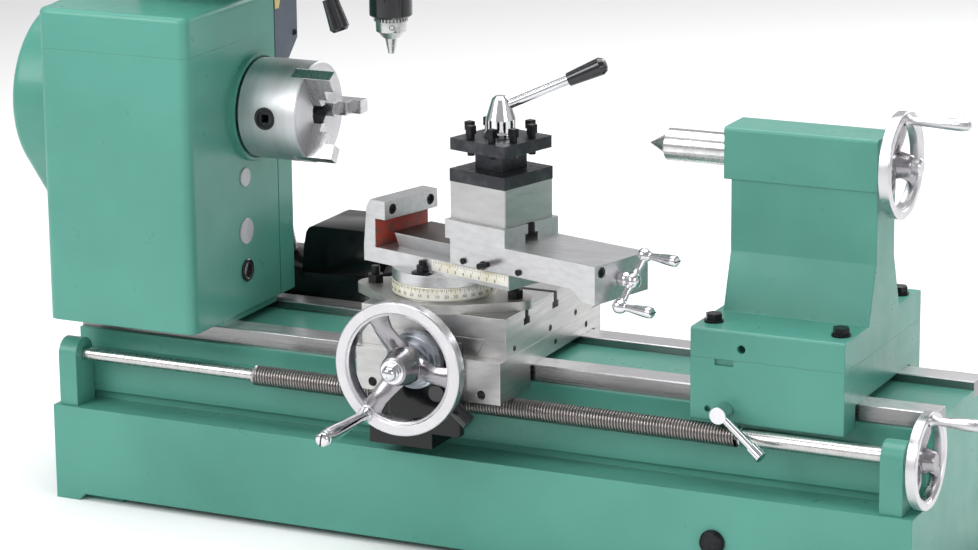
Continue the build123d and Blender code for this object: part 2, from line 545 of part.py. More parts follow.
SLIDE_D = (42, 218)
SLIDE_HALF = 38
SLIDE_Z = 313
CHEEK_Z = 330
with BuildPart() as compound_slide:
    slide_side = Plane(origin=compound.origin, x_dir=compound.x_dir, z_dir=-compound.y_dir).offset(-SLIDE_HALF)
    slide_outline = [(SLIDE_D[0], BAR_Z[1] + lift), (SLIDE_D[0], 312), (SLIDE_D[0] - 6, 312),
                     (SLIDE_D[0] - 6, CHEEK_Z), (110, CHEEK_Z), (110, SLIDE_Z), (SLIDE_D[1], SLIDE_Z),
                     (SLIDE_D[1], 277), (SLIDE_D[1] - 15, 277), (SLIDE_D[1] - 28, BAR_Z[1] + lift)]
    prism(slide_side, slide_outline, 2 * SLIDE_HALF)
    slide_end = Plane(origin=compound.origin, x_dir=compound.y_dir, z_dir=compound.x_dir).offset(30)
    channel = [(-22 - FREE_GAP, BAR_Z[1]), (-28 - FREE_GAP, BAR_Z[1] + 15 + FREE_GAP),
               (28 + FREE_GAP, BAR_Z[1] + 15 + FREE_GAP), (22 + FREE_GAP, BAR_Z[1])]
    prism(slide_end, channel, 160, Mode.SUBTRACT)
    slab((30, 120), (-5, 5), (SLIDE_Z, CHEEK_Z), Mode.SUBTRACT, compound)
    slab((30, 120), (-9, 9), (SLIDE_Z, SLIDE_Z + 8), Mode.SUBTRACT, compound)
    disc(slide_end.offset(150), (0, COMPOUND_SCREW_Z), 5 + RUN_GAP, 50, Mode.SUBTRACT)
    disc(slide_end.offset(SLIDE_D[1] - 30 - 4), (-28, 306), 5.2, 4, Mode.SUBTRACT)
save(compound_slide, "compound_slide")

LOCK_D = 84                   # locking screw of the compound, between its two gib screws
LOCK_SCREW_Z = 293
with BuildPart() as slide_screws:
    screw_face = Plane(origin=compound.origin, x_dir=compound.x_dir, z_dir=-compound.y_dir).offset(SLIDE_HALF)
    for screw_d, screw_r in ((59, 3), (LOCK_D, 4), (127, 3)):
        disc(screw_face, (screw_d, LOCK_SCREW_Z), screw_r, 2)
    disc(screw_face.offset(2), (LOCK_D, LOCK_SCREW_Z), 3, 5)
    lock_arm = Plane(origin=screw_face.offset(7).from_local_coords((LOCK_D, LOCK_SCREW_Z, 0)),
                     z_dir=compound.x_dir + Vector(0, 0, 0.35) - compound.y_dir * 0.2)
    disc(lock_arm, (0, 0), 2.5, 15)
save(slide_screws, "slide_screws")

CRANK_REACH = 27
CRANK_GRIP = 43               # length of each handle of the ball crank
CRANK_TILT = 41               # arm of the ball crank, from upright
crank_end = Plane(origin=compound.origin, x_dir=compound.y_dir, z_dir=compound.x_dir)
with BuildPart() as ball_crank:
    hub = Plane(origin=crank_end.offset(231).from_local_coords((0, COMPOUND_SCREW_Z, 0)), z_dir=crank_end.z_dir)
    shank = SLIDE_D[1] + FREE_GAP - 231
    turned([(64 - 231, 0), (64 - 231, 5), (shank, 5), (shank, 7), (-5, 7), (0, 8.5), (4, 8), (8, 4), (8, 0)],
           hub.origin, hub.z_dir)
    arm_dir = (crank_end.x_dir * sin(radians(CRANK_TILT)) + Vector(0, 0, cos(radians(CRANK_TILT)))).normalized()
    for side in (-1, 1):
        tip = hub.origin + arm_dir * (side * CRANK_REACH) - crank_end.z_dir * 5
        disc(Plane(origin=hub.origin, z_dir=arm_dir * side), (0, 0), 3.6, CRANK_REACH + 4)
        turned([(0, 0), (0, 6), (9, 6), (12, 3.6), (CRANK_GRIP - 5, 5.6), (CRANK_GRIP, 3.5), (CRANK_GRIP, 0)],
               tip, crank_end.z_dir)
save(ball_crank, "ball_crank")

BLOCK_HALF = 34
TURRET_FOOT = 378
TURRET_PLATE = (396, 407)
WAIST_HALF = 17
post = compound.from_local_coords((POST_D, 0, 0))
block_d = (POST_D - BLOCK_HALF, POST_D + BLOCK_HALF)

with BuildPart() as riser_block:
    slab(block_d, (-BLOCK_HALF, BLOCK_HALF), (CHEEK_Z, 366), base=compound)
    chamfer(riser_block.edges().filter_by(Axis.Z), 1)
save(riser_block, "riser_block")

with BuildPart() as spacer_plate:
    slab(block_d, (-BLOCK_HALF, BLOCK_HALF), (366, TURRET_FOOT), base=compound)
    bar_z((TURRET_FOOT, 424), post.X, post.Y, 8)
save(spacer_plate, "spacer_plate")

screw_spots = [(along, side * 27) for side in (-1, 1) for along in (-13, 13)]
screw_spots += [(y, x) for x, y in screw_spots]
with BuildPart() as turret:
    slab((POST_D - WAIST_HALF, POST_D + WAIST_HALF), (-WAIST_HALF, WAIST_HALF),
         (TURRET_FOOT + lift, TURRET_PLATE[0]), base=compound)
    slab(block_d, (-BLOCK_HALF, BLOCK_HALF), TURRET_PLATE, base=compound, corner=2)
    bar_z((TURRET_FOOT, TURRET_PLATE[1]), post.X, post.Y, 8 + RUN_GAP, Mode.SUBTRACT)
    for spot in screw_spots:
        hole = compound.from_local_coords((POST_D + spot[0], spot[1], 0))
        bar_z(TURRET_PLATE, hole.X, hole.Y, 3.5, Mode.SUBTRACT)
save(turret, "turret")

with BuildPart() as turret_screws:
    for spot in screw_spots:
        hole = compound.from_local_coords((POST_D + spot[0], spot[1], 0))
        bar_z((TURRET_PLATE[0] - 4, TURRET_PLATE[1] + 5), hole.X, hole.Y, 3.5)
        with BuildSketch(compound.offset(TURRET_PLATE[1] + 5)) as head:
            with Locations((POST_D + spot[0], spot[1])):
                Rectangle(7, 7)
        extrude(head.sketch, amount=8)
save(turret_screws, "turret_screws")

LEVER_AZIMUTH = 15
LEVER_RISE = 24
LEVER_Z = 434
lever_dir = Vector(cos(radians(LEVER_AZIMUTH)) * cos(radians(LEVER_RISE)),
                   sin(radians(LEVER_AZIMUTH)) * cos(radians(LEVER_RISE)), sin(radians(LEVER_RISE)))
lever_root = Vector(post.X, post.Y, LEVER_Z)
with BuildPart() as clamp_lever:
    turned([(407.4, 0), (407.4, 15.5), (411, 15.5), (413, 14), (424, 14), (443, 8), (445.5, 5), (446, 0)],
           (post.X, post.Y, 0), (0, 0, 1))
    disc(Plane(origin=lever_root, z_dir=lever_dir), (0, 0), 4.5, 84)
    bar_z((407, 424.5), post.X, post.Y, 8 + RUN_GAP, Mode.SUBTRACT)
save(clamp_lever, "clamp_lever")

with BuildPart() as lever_grip:
    grip_start = lever_root + lever_dir * 70
    turned([(0, 0), (0, 6.5), (33, 8.5), (37, 6.5), (38, 4), (38, 0)], grip_start, lever_dir)
    disc(Plane(origin=lever_root, z_dir=lever_dir), (0, 0), 4.5, 84, Mode.SUBTRACT)
save(lever_grip, "lever_grip")

# ---- tailstock ---------------------------------------------------------------------------------
COLUMN_HALF = 24
with BuildPart() as tailstock_base:
    slab(TAIL_X, (TAIL_FRONT, -TAIL_FRONT), (WAY_TOP + lift, TAIL_SEAM))
    slab(TAIL_X, (TAIL_FRONT, -RAIL_FACE - FREE_GAP), (SCREW_Z + SCREW_R + 0.6, WAY_TOP + lift))
    slab(TAIL_X, (RAIL_FACE + FREE_GAP, -TAIL_FRONT), (SCREW_Z + SCREW_R, WAY_TOP + lift))
    slab((TAIL_X[0] + 24, TAIL_X[0] + 42), (TAIL_FRONT, TAIL_FRONT + 3), (TAIL_SEAM - 6, TAIL_SEAM),
         Mode.SUBTRACT)
    bar_y((TAIL_FRONT + 5, TAIL_FRONT), 243, 169.5, 3, Mode.SUBTRACT)
save(tailstock_base, "tailstock_base")

with BuildPart() as tailstock_body:
    slab(TAIL_X, (TAIL_FRONT, -TAIL_FRONT), (TAIL_SEAM, TAIL_BASE_TOP))
    fillet(tailstock_body.edges().filter_by(Axis.X).group_by(Axis.Z)[-1], 3)
    column = [(-42, TAIL_BASE_TOP - 1), (-COLUMN_HALF, 300), (-COLUMN_HALF, 417),
              (COLUMN_HALF, 417), (COLUMN_HALF, 300), (42, TAIL_BASE_TOP - 1)]
    prism(Plane.YZ.offset(TAIL_X[0] + 7), column, TAIL_X[1] - TAIL_X[0] - 7)
    slab((TAIL_X[0], TAIL_X[1]), (-COLUMN_HALF - 1.5, COLUMN_HALF + 1.5), (368, 417))
    fillet(tailstock_body.faces().sort_by(Axis.Z)[-1].edges().filter_by(Axis.X), 4)
    bar_x((TAIL_X[0], TAIL_X[1] - 12), 0, AXIS_Z, QUILL_R + RUN_GAP, Mode.SUBTRACT)
    bar_x((TAIL_X[1] - 12, TAIL_X[1]), 0, AXIS_Z, 8 + RUN_GAP, Mode.SUBTRACT)
    slab((TAIL_X[0] + 20, TAIL_X[1] - 12), (-14, 14), (TAIL_SEAM, 350), Mode.SUBTRACT)
    bar_y((TAIL_FRONT + 12, TAIL_FRONT), 276, 229.5, 4, Mode.SUBTRACT)
save(tailstock_body, "tailstock_body")

QUILL_X = (160, 300)
with BuildPart() as tailstock_quill:
    bar_x(QUILL_X, 0, AXIS_Z, QUILL_R)
    chamfer(tailstock_quill.faces().sort_by(Axis.X)[0].edges(), 1)
    bar_x((QUILL_X[0], 205), 0, AXIS_Z, 9, Mode.SUBTRACT)
    bar_x((205, QUILL_X[1]), 0, AXIS_Z, 8 + FREE_GAP, Mode.SUBTRACT)
save(tailstock_quill, "tailstock_quill")

with BuildPart() as dead_centre:
    turned([(TIP_X, 0), (QUILL_X[0] - 1, 10.5), (QUILL_X[0], 10.5), (QUILL_X[0], 9), (204, 9), (204, 0)],
           (0, 0, AXIS_Z), (1, 0, 0))
save(dead_centre, "dead_centre")

with BuildPart() as tailstock_handwheel:
    bar_x((262, 410), 0, AXIS_Z, 8)
    spoked_wheel(Plane.YZ.offset(TAIL_X[1] + 2), (0, AXIS_Z), 50, 11, 13, 24, 11, (90, 210, 330))
    bar_x((395, 455), 0, AXIS_Z + 42, 6)
save(tailstock_handwheel, "tailstock_handwheel")

LOCK_X, LOCK_Z = 261, 170
with BuildPart() as tailstock_lever:
    bar_y((TAIL_FRONT - FREE_GAP, TAIL_FRONT - 20), LOCK_X, LOCK_Z, 8)
    lock_rod = Plane(origin=(LOCK_X, TAIL_FRONT - 14, LOCK_Z), z_dir=(0.80, -0.25, -0.54))
    disc(lock_rod, (0, 0), 4, 52)
    disc(lock_rod.offset(44), (0, 0), 5.5, 14)
save(tailstock_lever, "tailstock_lever")

with BuildPart() as tailstock_bolts:
    for bolt_x in (239, 363):
        for bolt_y in (-80, 80):
            bar_z((TAIL_BASE_TOP, TAIL_BASE_TOP + 2), bolt_x, bolt_y, 9)
            with BuildSketch(Plane.XY.offset(TAIL_BASE_TOP + 2)) as bolt_head:
                with Locations((bolt_x, bolt_y)):
                    RegularPolygon(8, 6)
            extrude(bolt_head.sketch, amount=6)
save(tailstock_bolts, "tailstock_bolts")

# ---- drill head --------------------------------------------------------------------------------
with BuildPart() as mill_column:
    bar_z((HEAD_TOP, HEAD_TOP + 14), COLUMN_X, 0, 40)
    bar_z((HEAD_TOP + 14, MILL_BOTTOM), COLUMN_X, 0, 38)
    bar_z((MILL_BOTTOM, MILL_BOTTOM + 90), COLUMN_X, 0, 28)
save(mill_column, "mill_column")

with BuildPart() as mill_head:
    slab((-440, MILL_X), (-62, 62), (MILL_BOTTOM + lift, MILL_TOP), corner=6)
    bar_z((MILL_BOTTOM + lift, MILL_TOP), MILL_X, 0, 52)
    slab((-200, -160), (-84, -60), (FEED_Z - 24, FEED_Z + 24), corner=4)
    bar_z((MILL_BOTTOM, MILL_TOP), MILL_X, 0, MILL_QUILL_R + RUN_GAP, Mode.SUBTRACT)
    bar_z((MILL_BOTTOM, MILL_BOTTOM + 91), COLUMN_X, 0, 28 + RUN_GAP, Mode.SUBTRACT)
    slab((-325, -208), (-50, 50), (MILL_BOTTOM + 12, MILL_TOP), Mode.SUBTRACT)
    bar_y((-40, -85), FEED_X, FEED_Z, 9 + RUN_GAP, Mode.SUBTRACT)
save(mill_head, "mill_head")

MILL_MOTOR = (-390, 122)
MILL_COVER_TOP = 832
LID_TAIL = (-380, 45)         # centre of the round rear end of the lid over the belt


def over_head(plane, nose_radius, tail_radius, length, mode=Mode.ADD):
    """The outline that covers both the drill spindle and the head's motor, extruded from the plane."""
    with BuildSketch(plane) as lid:
        with BuildSketch(plane, mode=Mode.PRIVATE) as lid_rounds:
            with Locations((MILL_X, 0)):
                Circle(nose_radius)
            with Locations(LID_TAIL):
                Circle(tail_radius)
        make_hull(lid_rounds.edges())
    extrude(lid.sketch, amount=length, mode=mode)


with BuildPart() as mill_belt_cover:
    over_head(Plane.XY.offset(MILL_TOP), 60, 105, MILL_COVER_TOP - MILL_TOP)
    fillet(mill_belt_cover.faces().sort_by(Axis.Z)[-1].edges(), 8)
    bar_z((MILL_COVER_TOP - 2, 933), MILL_X, 0, 20)
    over_head(Plane.XY.offset(MILL_TOP), 57, 102, MILL_COVER_TOP - MILL_TOP - 3, Mode.SUBTRACT)
    bar_z((MILL_TOP, 928), MILL_X, 0, 17, Mode.SUBTRACT)
save(mill_belt_cover, "mill_belt_cover")

with BuildPart() as mill_motor:
    bar_z((565, MILL_TOP), *MILL_MOTOR, 56)
    fillet(mill_motor.faces().sort_by(Axis.Z)[0].edges(), 10)
    slab((-430, -350), (62, 90), (600, 700))
save(mill_motor, "mill_motor")

SLEEVE_Z = (491, 526)
QUILL_Z = (536, 732)
with BuildPart() as mill_quill:
    bar_z(QUILL_Z, MILL_X, 0, MILL_QUILL_R)
    bar_z(QUILL_Z, MILL_X, 0, 12 + RUN_GAP, Mode.SUBTRACT)
save(mill_quill, "mill_quill")

with BuildPart() as drill_chuck:
    turned([(455, 0), (455, 3.5), (470, 6), (470, 8.5), (477, 15), (SLEEVE_Z[0], 15), (SLEEVE_Z[0], 13),
            (SLEEVE_Z[1], 13), (SLEEVE_Z[1], 9), (532, 9), (532, 12), (728, 12), (728, 0)],
           (MILL_X, 0, 0), (0, 0, 1))
save(drill_chuck, "drill_chuck")

with BuildPart() as drill_sleeve:
    bar_z(SLEEVE_Z, MILL_X, 0, 21)
    chamfer(drill_sleeve.faces().sort_by(Axis.Z)[0].edges(), 2)
    fillet(drill_sleeve.faces().sort_by(Axis.Z)[-1].edges(), 3)
    bar_z(SLEEVE_Z, MILL_X, 0, 13, Mode.SUBTRACT)
save(drill_sleeve, "drill_sleeve")

FEED_REACH = 112              # hub centre to the inner end of each grip
GRIP_LENGTH = 32
with BuildPart() as feed_levers:
    bar_y((-41, -90), FEED_X, FEED_Z, 9)
    bar_y((-84 - FREE_GAP, -118), FEED_X, FEED_Z, 19)
    fillet(feed_levers.faces().sort_by(Axis.Y)[0].edges(), 5)
    for feed_angle in FEED_ANGLES:
        out = Vector(cos(radians(feed_angle)), 0, sin(radians(feed_angle)))
        disc(Plane(origin=(FEED_X, -104, FEED_Z), z_dir=out), (0, 0), 5, FEED_REACH + 12)
save(feed_levers, "feed_levers")

with BuildPart() as feed_grips:
    for feed_angle in FEED_ANGLES:
        out = Vector(cos(radians(feed_angle)), 0, sin(radians(feed_angle)))
        root = Vector(FEED_X, -104, FEED_Z) + out * FEED_REACH
        turned([(0, 0), (0, 7.5), (GRIP_LENGTH - 3, 9.5), (GRIP_LENGTH, 7), (GRIP_LENGTH, 0)], root, out)
        disc(Plane(origin=(FEED_X, -104, FEED_Z), z_dir=out), (0, 0), 5, FEED_REACH + 12, Mode.SUBTRACT)
save(feed_grips, "feed_grips")
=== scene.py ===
"""Bench combination lathe: finishes, detail pieces, floor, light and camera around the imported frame."""
import bpy
import bmesh
from math import cos, pi, radians, sin
from mathutils import Matrix, Vector


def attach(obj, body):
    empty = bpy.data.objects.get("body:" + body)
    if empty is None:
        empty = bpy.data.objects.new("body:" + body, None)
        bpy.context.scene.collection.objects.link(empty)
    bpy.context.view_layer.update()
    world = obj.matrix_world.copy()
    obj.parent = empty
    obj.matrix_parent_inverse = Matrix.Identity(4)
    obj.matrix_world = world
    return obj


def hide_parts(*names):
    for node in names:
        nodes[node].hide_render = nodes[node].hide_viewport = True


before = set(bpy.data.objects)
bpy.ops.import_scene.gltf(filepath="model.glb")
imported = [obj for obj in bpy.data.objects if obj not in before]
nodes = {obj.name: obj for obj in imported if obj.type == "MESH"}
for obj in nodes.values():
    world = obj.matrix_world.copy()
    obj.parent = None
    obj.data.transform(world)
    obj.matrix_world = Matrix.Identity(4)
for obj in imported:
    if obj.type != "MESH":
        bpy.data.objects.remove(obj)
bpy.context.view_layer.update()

MM = 0.001
X, Y, Z = Vector((1, 0, 0)), Vector((0, 1, 0)), Vector((0, 0, 1))


# ---- places of the main parts, in millimetres ---------------------------------------------------
SPINDLE_Z = 390
SCREW_Y, SCREW_Z = -110, 148
WHEEL = (-26, 0, 202)
MOTOR = (0, 150, 156)
DRILL = (-131, 0, 0)


# ---- camera and light --------------------------------------------------------------------------
def look(yaw, pitch, roll):
    """Orientation of a camera that looks along +Y, turned left, then down, then rolled."""
    return (Matrix.Rotation(yaw, 4, "Z") @ Matrix.Rotation(pi / 2 - pitch, 4, "X")
            @ Matrix.Rotation(roll, 4, "Z"))


camera_data = bpy.data.cameras.new("camera")
camera_data.sensor_width = 36
camera_data.lens = 129.828
camera_data.clip_start, camera_data.clip_end = 0.1, 60
camera = bpy.data.objects.new("camera", camera_data)
bpy.context.scene.collection.objects.link(camera)
camera.matrix_world = (Matrix.Translation((1.40844, -2.99055, 1.10747))
                       @ look(radians(25.666), radians(14.6), radians(-0.576)))
bpy.context.scene.camera = camera


def area_light(name, position, target, size, power, colour=(1, 1, 1)):
    """A soft square lamp at a position, facing a target."""
    data = bpy.data.lights.new(name, "AREA")
    data.size, data.energy, data.color = size, power, colour
    lamp = bpy.data.objects.new(name, data)
    bpy.context.scene.collection.objects.link(lamp)
    aim = (Vector(target) - Vector(position)).to_track_quat("-Z", "Y")
    lamp.matrix_world = Matrix.Translation(position) @ aim.to_matrix().to_4x4()


area_light("overhead", (-0.3, 0.2, 2.6), (0, 0, 0.3), 2.2, 62)
area_light("key", (-1.5, -2.4, 1.9), (0, 0, 0.25), 1.5, 48)
area_light("fill", (2.6, -1.2, 1.2), (0, 0, 0.3), 1.2, 14)
area_light("back", (0.6, 2.6, 1.6), (0, 0, 0.3), 1.6, 26)

world = bpy.data.worlds.new("studio")
bpy.context.scene.world = world
world.use_nodes = True
sky = world.node_tree
sky_shade = sky.nodes["Background"]
sky_place = sky.nodes.new("ShaderNodeTexCoord")
sky_split = sky.nodes.new("ShaderNodeSeparateXYZ")
sky_ramp = sky.nodes.new("ShaderNodeValToRGB")
sky.links.new(sky_place.outputs["Generated"], sky_split.inputs[0])
sky.links.new(sky_split.outputs["Z"], sky_ramp.inputs[0])
sky.links.new(sky_ramp.outputs[0], sky_shade.inputs[0])
SKY = ((0, 0.9), (0.1, 0.3), (0.24, 1.3), (0.5, 0.5), (1, 0.8))
SKY_STRENGTH = 0.62
stops = sky_ramp.color_ramp.elements
for position, _ in SKY[1:-1]:
    stops.new(position)
for stop, (_, grey) in zip(stops, SKY):
    stop.color = (grey, grey, grey * 1.02, 1)
sky_shade.inputs[1].default_value = SKY_STRENGTH
bpy.context.scene.view_settings.view_transform = "Standard"


# ---- finishes ----------------------------------------------------------------------------------
class Finish:
    """A procedural material in the making; each method adds a node and returns its output."""

    def __init__(self, name, colour, roughness, metallic=0.0, coat=0.0, specular=0.5):
        self.material = bpy.data.materials.new(name)
        self.material.use_nodes = True
        self.tree = self.material.node_tree
        self.shader = self.tree.nodes["Principled BSDF"]
        self.shader.inputs["Base Color"].default_value = (*colour, 1)
        self.shader.inputs["Roughness"].default_value = roughness
        self.shader.inputs["Metallic"].default_value = metallic
        self.shader.inputs["Coat Weight"].default_value = coat
        self.shader.inputs["Specular IOR Level"].default_value = specular
        self.place = self.node("ShaderNodeTexCoord").outputs["Object"]
        self.material.diffuse_color = (*colour, 1)

    def node(self, kind, **settings):
        made = self.tree.nodes.new(kind)
        for key, value in settings.items():
            setattr(made, key, value)
        return made

    def link(self, source, target):
        if isinstance(source, (int, float)):
            target.default_value = source
        else:
            self.tree.links.new(source, target)

    def maths(self, operation, first, second=0.0):
        made = self.node("ShaderNodeMath", operation=operation)
        self.link(first, made.inputs[0])
        self.link(second, made.inputs[1])
        return made.outputs[0]

    def stretched(self, stretch):
        made = self.node("ShaderNodeMapping")
        self.link(self.place, made.inputs["Vector"])
        made.inputs["Scale"].default_value = stretch
        return made.outputs[0]

    def around(self, axis, centre):
        """Coordinates that are the same all round an axis, so a pattern lies in turned rings."""
        split = self.node("ShaderNodeSeparateXYZ")
        self.link(self.place, split.inputs[0])
        others = [i for i in range(3) if i != axis]
        sides = [self.maths("SUBTRACT", split.outputs[i], c) for i, c in zip(others, centre)]
        squares = [self.maths("MULTIPLY", side, side) for side in sides]
        radius = self.maths("SQRT", self.maths("ADD", *squares))
        joined = self.node("ShaderNodeCombineXYZ")
        self.link(split.outputs[axis], joined.inputs[0])
        self.link(radius, joined.inputs[1])
        return joined.outputs[0]

    def noise(self, scale, detail=3.0, where=None, roughness=0.5, distortion=0.0):
        made = self.node("ShaderNodeTexNoise")
        self.link(where or self.place, made.inputs["Vector"])
        made.inputs["Scale"].default_value = scale
        made.inputs["Detail"].default_value = detail
        made.inputs["Roughness"].default_value = roughness
        made.inputs["Distortion"].default_value = distortion
        return made.outputs["Fac"]

    def spread(self, value, low, high, to_low=0.0, to_high=1.0):
        made = self.node("ShaderNodeMapRange")
        self.link(value, made.inputs["Value"])
        ends = (("From Min", low), ("From Max", high), ("To Min", to_low), ("To Max", to_high))
        for key, number in ends:
            made.inputs[key].default_value = number
        return made.outputs[0]

    def mix(self, factor, first, second):
        made = self.node("ShaderNodeMix", data_type="RGBA")
        self.link(factor, made.inputs["Factor"])
        for socket, value in zip((made.inputs[6], made.inputs[7]), (first, second)):
            if isinstance(value, tuple):
                socket.default_value = (*value, 1)
            else:
                self.link(value, socket)
        return made.outputs[2]

    def colour(self, source):
        self.link(source, self.shader.inputs["Base Color"])

    def rough(self, source):
        self.link(source, self.shader.inputs["Roughness"])

    def relief(self, height, distance, strength=1.0, edge=0.0):
        """Bump from a height, over normals softened at the edges by a small radius."""
        bump = self.node("ShaderNodeBump")
        bump.inputs["Strength"].default_value = strength
        bump.inputs["Distance"].default_value = distance
        self.link(height, bump.inputs["Height"])
        if edge:
            soft = self.node("ShaderNodeBevel", samples=4)
            soft.inputs["Radius"].default_value = edge
            self.link(soft.outputs[0], bump.inputs["Normal"])
        self.link(bump.outputs[0], self.shader.inputs["Normal"])


def enamel(name, colour, roughness=0.32, edge=0.0016, worn=True):
    """Glossy paint over a casting: slow colour drift, faint brush-out ripple, dust in the gloss."""
    made = Finish(name, colour, roughness, coat=0.1, specular=0.32)
    made.shader.inputs["Coat Roughness"].default_value = 0.12
    drift = made.spread(made.noise(5.0, 4), 0.3, 0.7)
    lighter = tuple(c * 1.14 + 0.008 for c in colour)
    darker = tuple(c * 0.88 for c in colour)
    base = made.mix(drift, darker, lighter)
    specks = made.spread(made.noise(420.0, 2), 0.69, 0.73)
    made.colour(made.mix(made.maths("MULTIPLY", specks, 0.35 if worn else 0.1), base, darker))
    made.rough(made.spread(made.noise(38.0, 5), 0.25, 0.75, roughness - 0.07, roughness + 0.1))
    ripple = made.maths("ADD", made.noise(120.0, 3), made.maths("MULTIPLY", made.noise(26.0, 2), 2.0))
    made.relief(ripple, 0.00022, 0.4, edge)
    return made.material


def ground(name, colour, roughness, stretch, edge=0.0007, stain=0.25, upright=1.0):
    """Surface-ground steel: fine marks along one direction, oil stains, and painted shade that darkens
    faces standing upright.
    """
    made = Finish(name, colour, roughness, metallic=1.0)
    marks = made.noise(1.0, 3, made.stretched(stretch), 0.6)
    fine = made.noise(3.3, 2, made.stretched(stretch), 0.6)
    blotch = made.spread(made.noise(11.0, 4, roughness=0.55), 0.4, 0.8)
    dark = tuple(c * 0.88 for c in colour)
    light = tuple(min(1.0, c * 1.05) for c in colour)
    lined = made.mix(made.spread(marks, 0.3, 0.7), dark, light)
    warm = (colour[0] * 0.62, colour[1] * 0.57, colour[2] * 0.5)
    spots = made.spread(made.noise(260.0, 3), 0.66, 0.74)
    stained = made.mix(made.maths("MULTIPLY", blotch, stain), lined, warm)
    spotted = made.mix(made.maths("MULTIPLY", spots, stain), stained, warm)
    # painted shade: faces standing upright are darkened towards a quarter of the colour, by 1 - upright;
    # at upright=1 nothing is darkened
    facing = made.node("ShaderNodeSeparateXYZ")
    made.link(made.node("ShaderNodeTexCoord").outputs["Normal"], facing.inputs[0])
    level = made.maths("ABSOLUTE", facing.outputs[2])
    painted_upright_shade = made.mix(1.0 - upright, spotted, tuple(c * 0.25 for c in colour))
    made.colour(made.mix(made.spread(level, 0.4, 0.8), painted_upright_shade, spotted))
    made.rough(made.maths("ADD", made.spread(fine, 0.3, 0.7, roughness - 0.06, roughness + 0.08),
                          made.maths("MULTIPLY", blotch, 0.1)))
    made.relief(made.maths("ADD", marks, fine), 0.00006, 0.45, edge)
    return made.material


def turned_metal(name, colour, roughness, axis, centre, density=900.0, edge=0.0006):
    """Lathe-turned metal: fine rings round its own axis."""
    made = Finish(name, colour, roughness, metallic=1.0)
    rings = made.noise(density, 2, made.around(axis, centre), 0.7)
    broad = made.noise(density / 9, 2, made.around(axis, centre), 0.6)
    haze = made.noise(30.0, 4)
    dark = tuple(c * 0.78 for c in colour)
    made.colour(made.mix(made.spread(made.maths("ADD", rings, broad), 0.7, 1.3), dark, colour))
    made.rough(made.maths("ADD", made.spread(rings, 0.3, 0.7, roughness - 0.05, roughness + 0.08),
                          made.spread(haze, 0.35, 0.75, 0.0, 0.09)))
    made.relief(made.maths("ADD", rings, broad), 0.00004, 0.6, edge)
    return made.material


def polished(name, colour, roughness=0.09, edge=0.0008):
    """Chrome plate: almost a mirror, with faint buffing haze."""
    made = Finish(name, colour, roughness, metallic=1.0)
    haze = made.noise(60.0, 4)
    made.colour(made.mix(made.spread(haze, 0.35, 0.7), tuple(c * 0.93 for c in colour), colour))
    made.rough(made.spread(haze, 0.3, 0.75, roughness * 0.6, roughness * 1.7))
    made.relief(made.noise(420.0, 3), 0.00003, 0.5, edge)
    return made.material


def blackened(name, colour, roughness=0.38, metallic=0.7, edge=0.0006):
    """Black oxide: dark steel rubbed a little brighter in scattered patches."""
    made = Finish(name, colour, roughness, metallic=metallic)
    patch = made.spread(made.noise(70.0, 5, roughness=0.6), 0.45, 0.75)
    made.colour(made.mix(patch, colour, tuple(c * 1.9 + 0.01 for c in colour)))
    made.rough(made.spread(made.noise(150.0, 3), 0.3, 0.7, roughness - 0.08, roughness + 0.1))
    made.relief(made.noise(500.0, 3), 0.00005, 0.5, edge)
    return made.material


def moulded(name, colour, roughness=0.2):
    """Moulded plastic or rubber: even colour with a very fine texture in the gloss."""
    made = Finish(name, colour, roughness, coat=0.3)
    made.colour(made.mix(made.noise(90.0, 3), colour, tuple(c * 1.6 + 0.004 for c in colour)))
    made.rough(made.spread(made.noise(200.0, 3), 0.3, 0.7, roughness - 0.05, roughness + 0.08))
    made.relief(made.noise(700.0, 2), 0.00004, 0.4, 0.0006)
    return made.material


def painted_recess():
    """Brushed red primer that leaves bare dark casting showing through in patches."""
    made = Finish("red_primer", (0.4, 0.06, 0.04), 0.6)
    split = made.noise(120.0, 5, roughness=0.65, distortion=0.6)
    made.colour(made.mix(made.spread(split, 0.47, 0.58), (0.42, 0.05, 0.033), (0.2, 0.07, 0.05)))
    made.relief(split, 0.0006, 0.8)
    return made.material


def printed(name, colour):
    """Engraved scale ground: slightly yellowed satin with faint handling marks."""
    made = Finish(name, colour, 0.42, metallic=0.25)
    made.colour(made.mix(made.spread(made.noise(60.0, 4), 0.4, 0.75), colour,
                         tuple(c * f for c, f in zip(colour, (0.86, 0.8, 0.62)))))
    made.relief(made.noise(300.0, 2), 0.00004, 0.4)
    return made.material


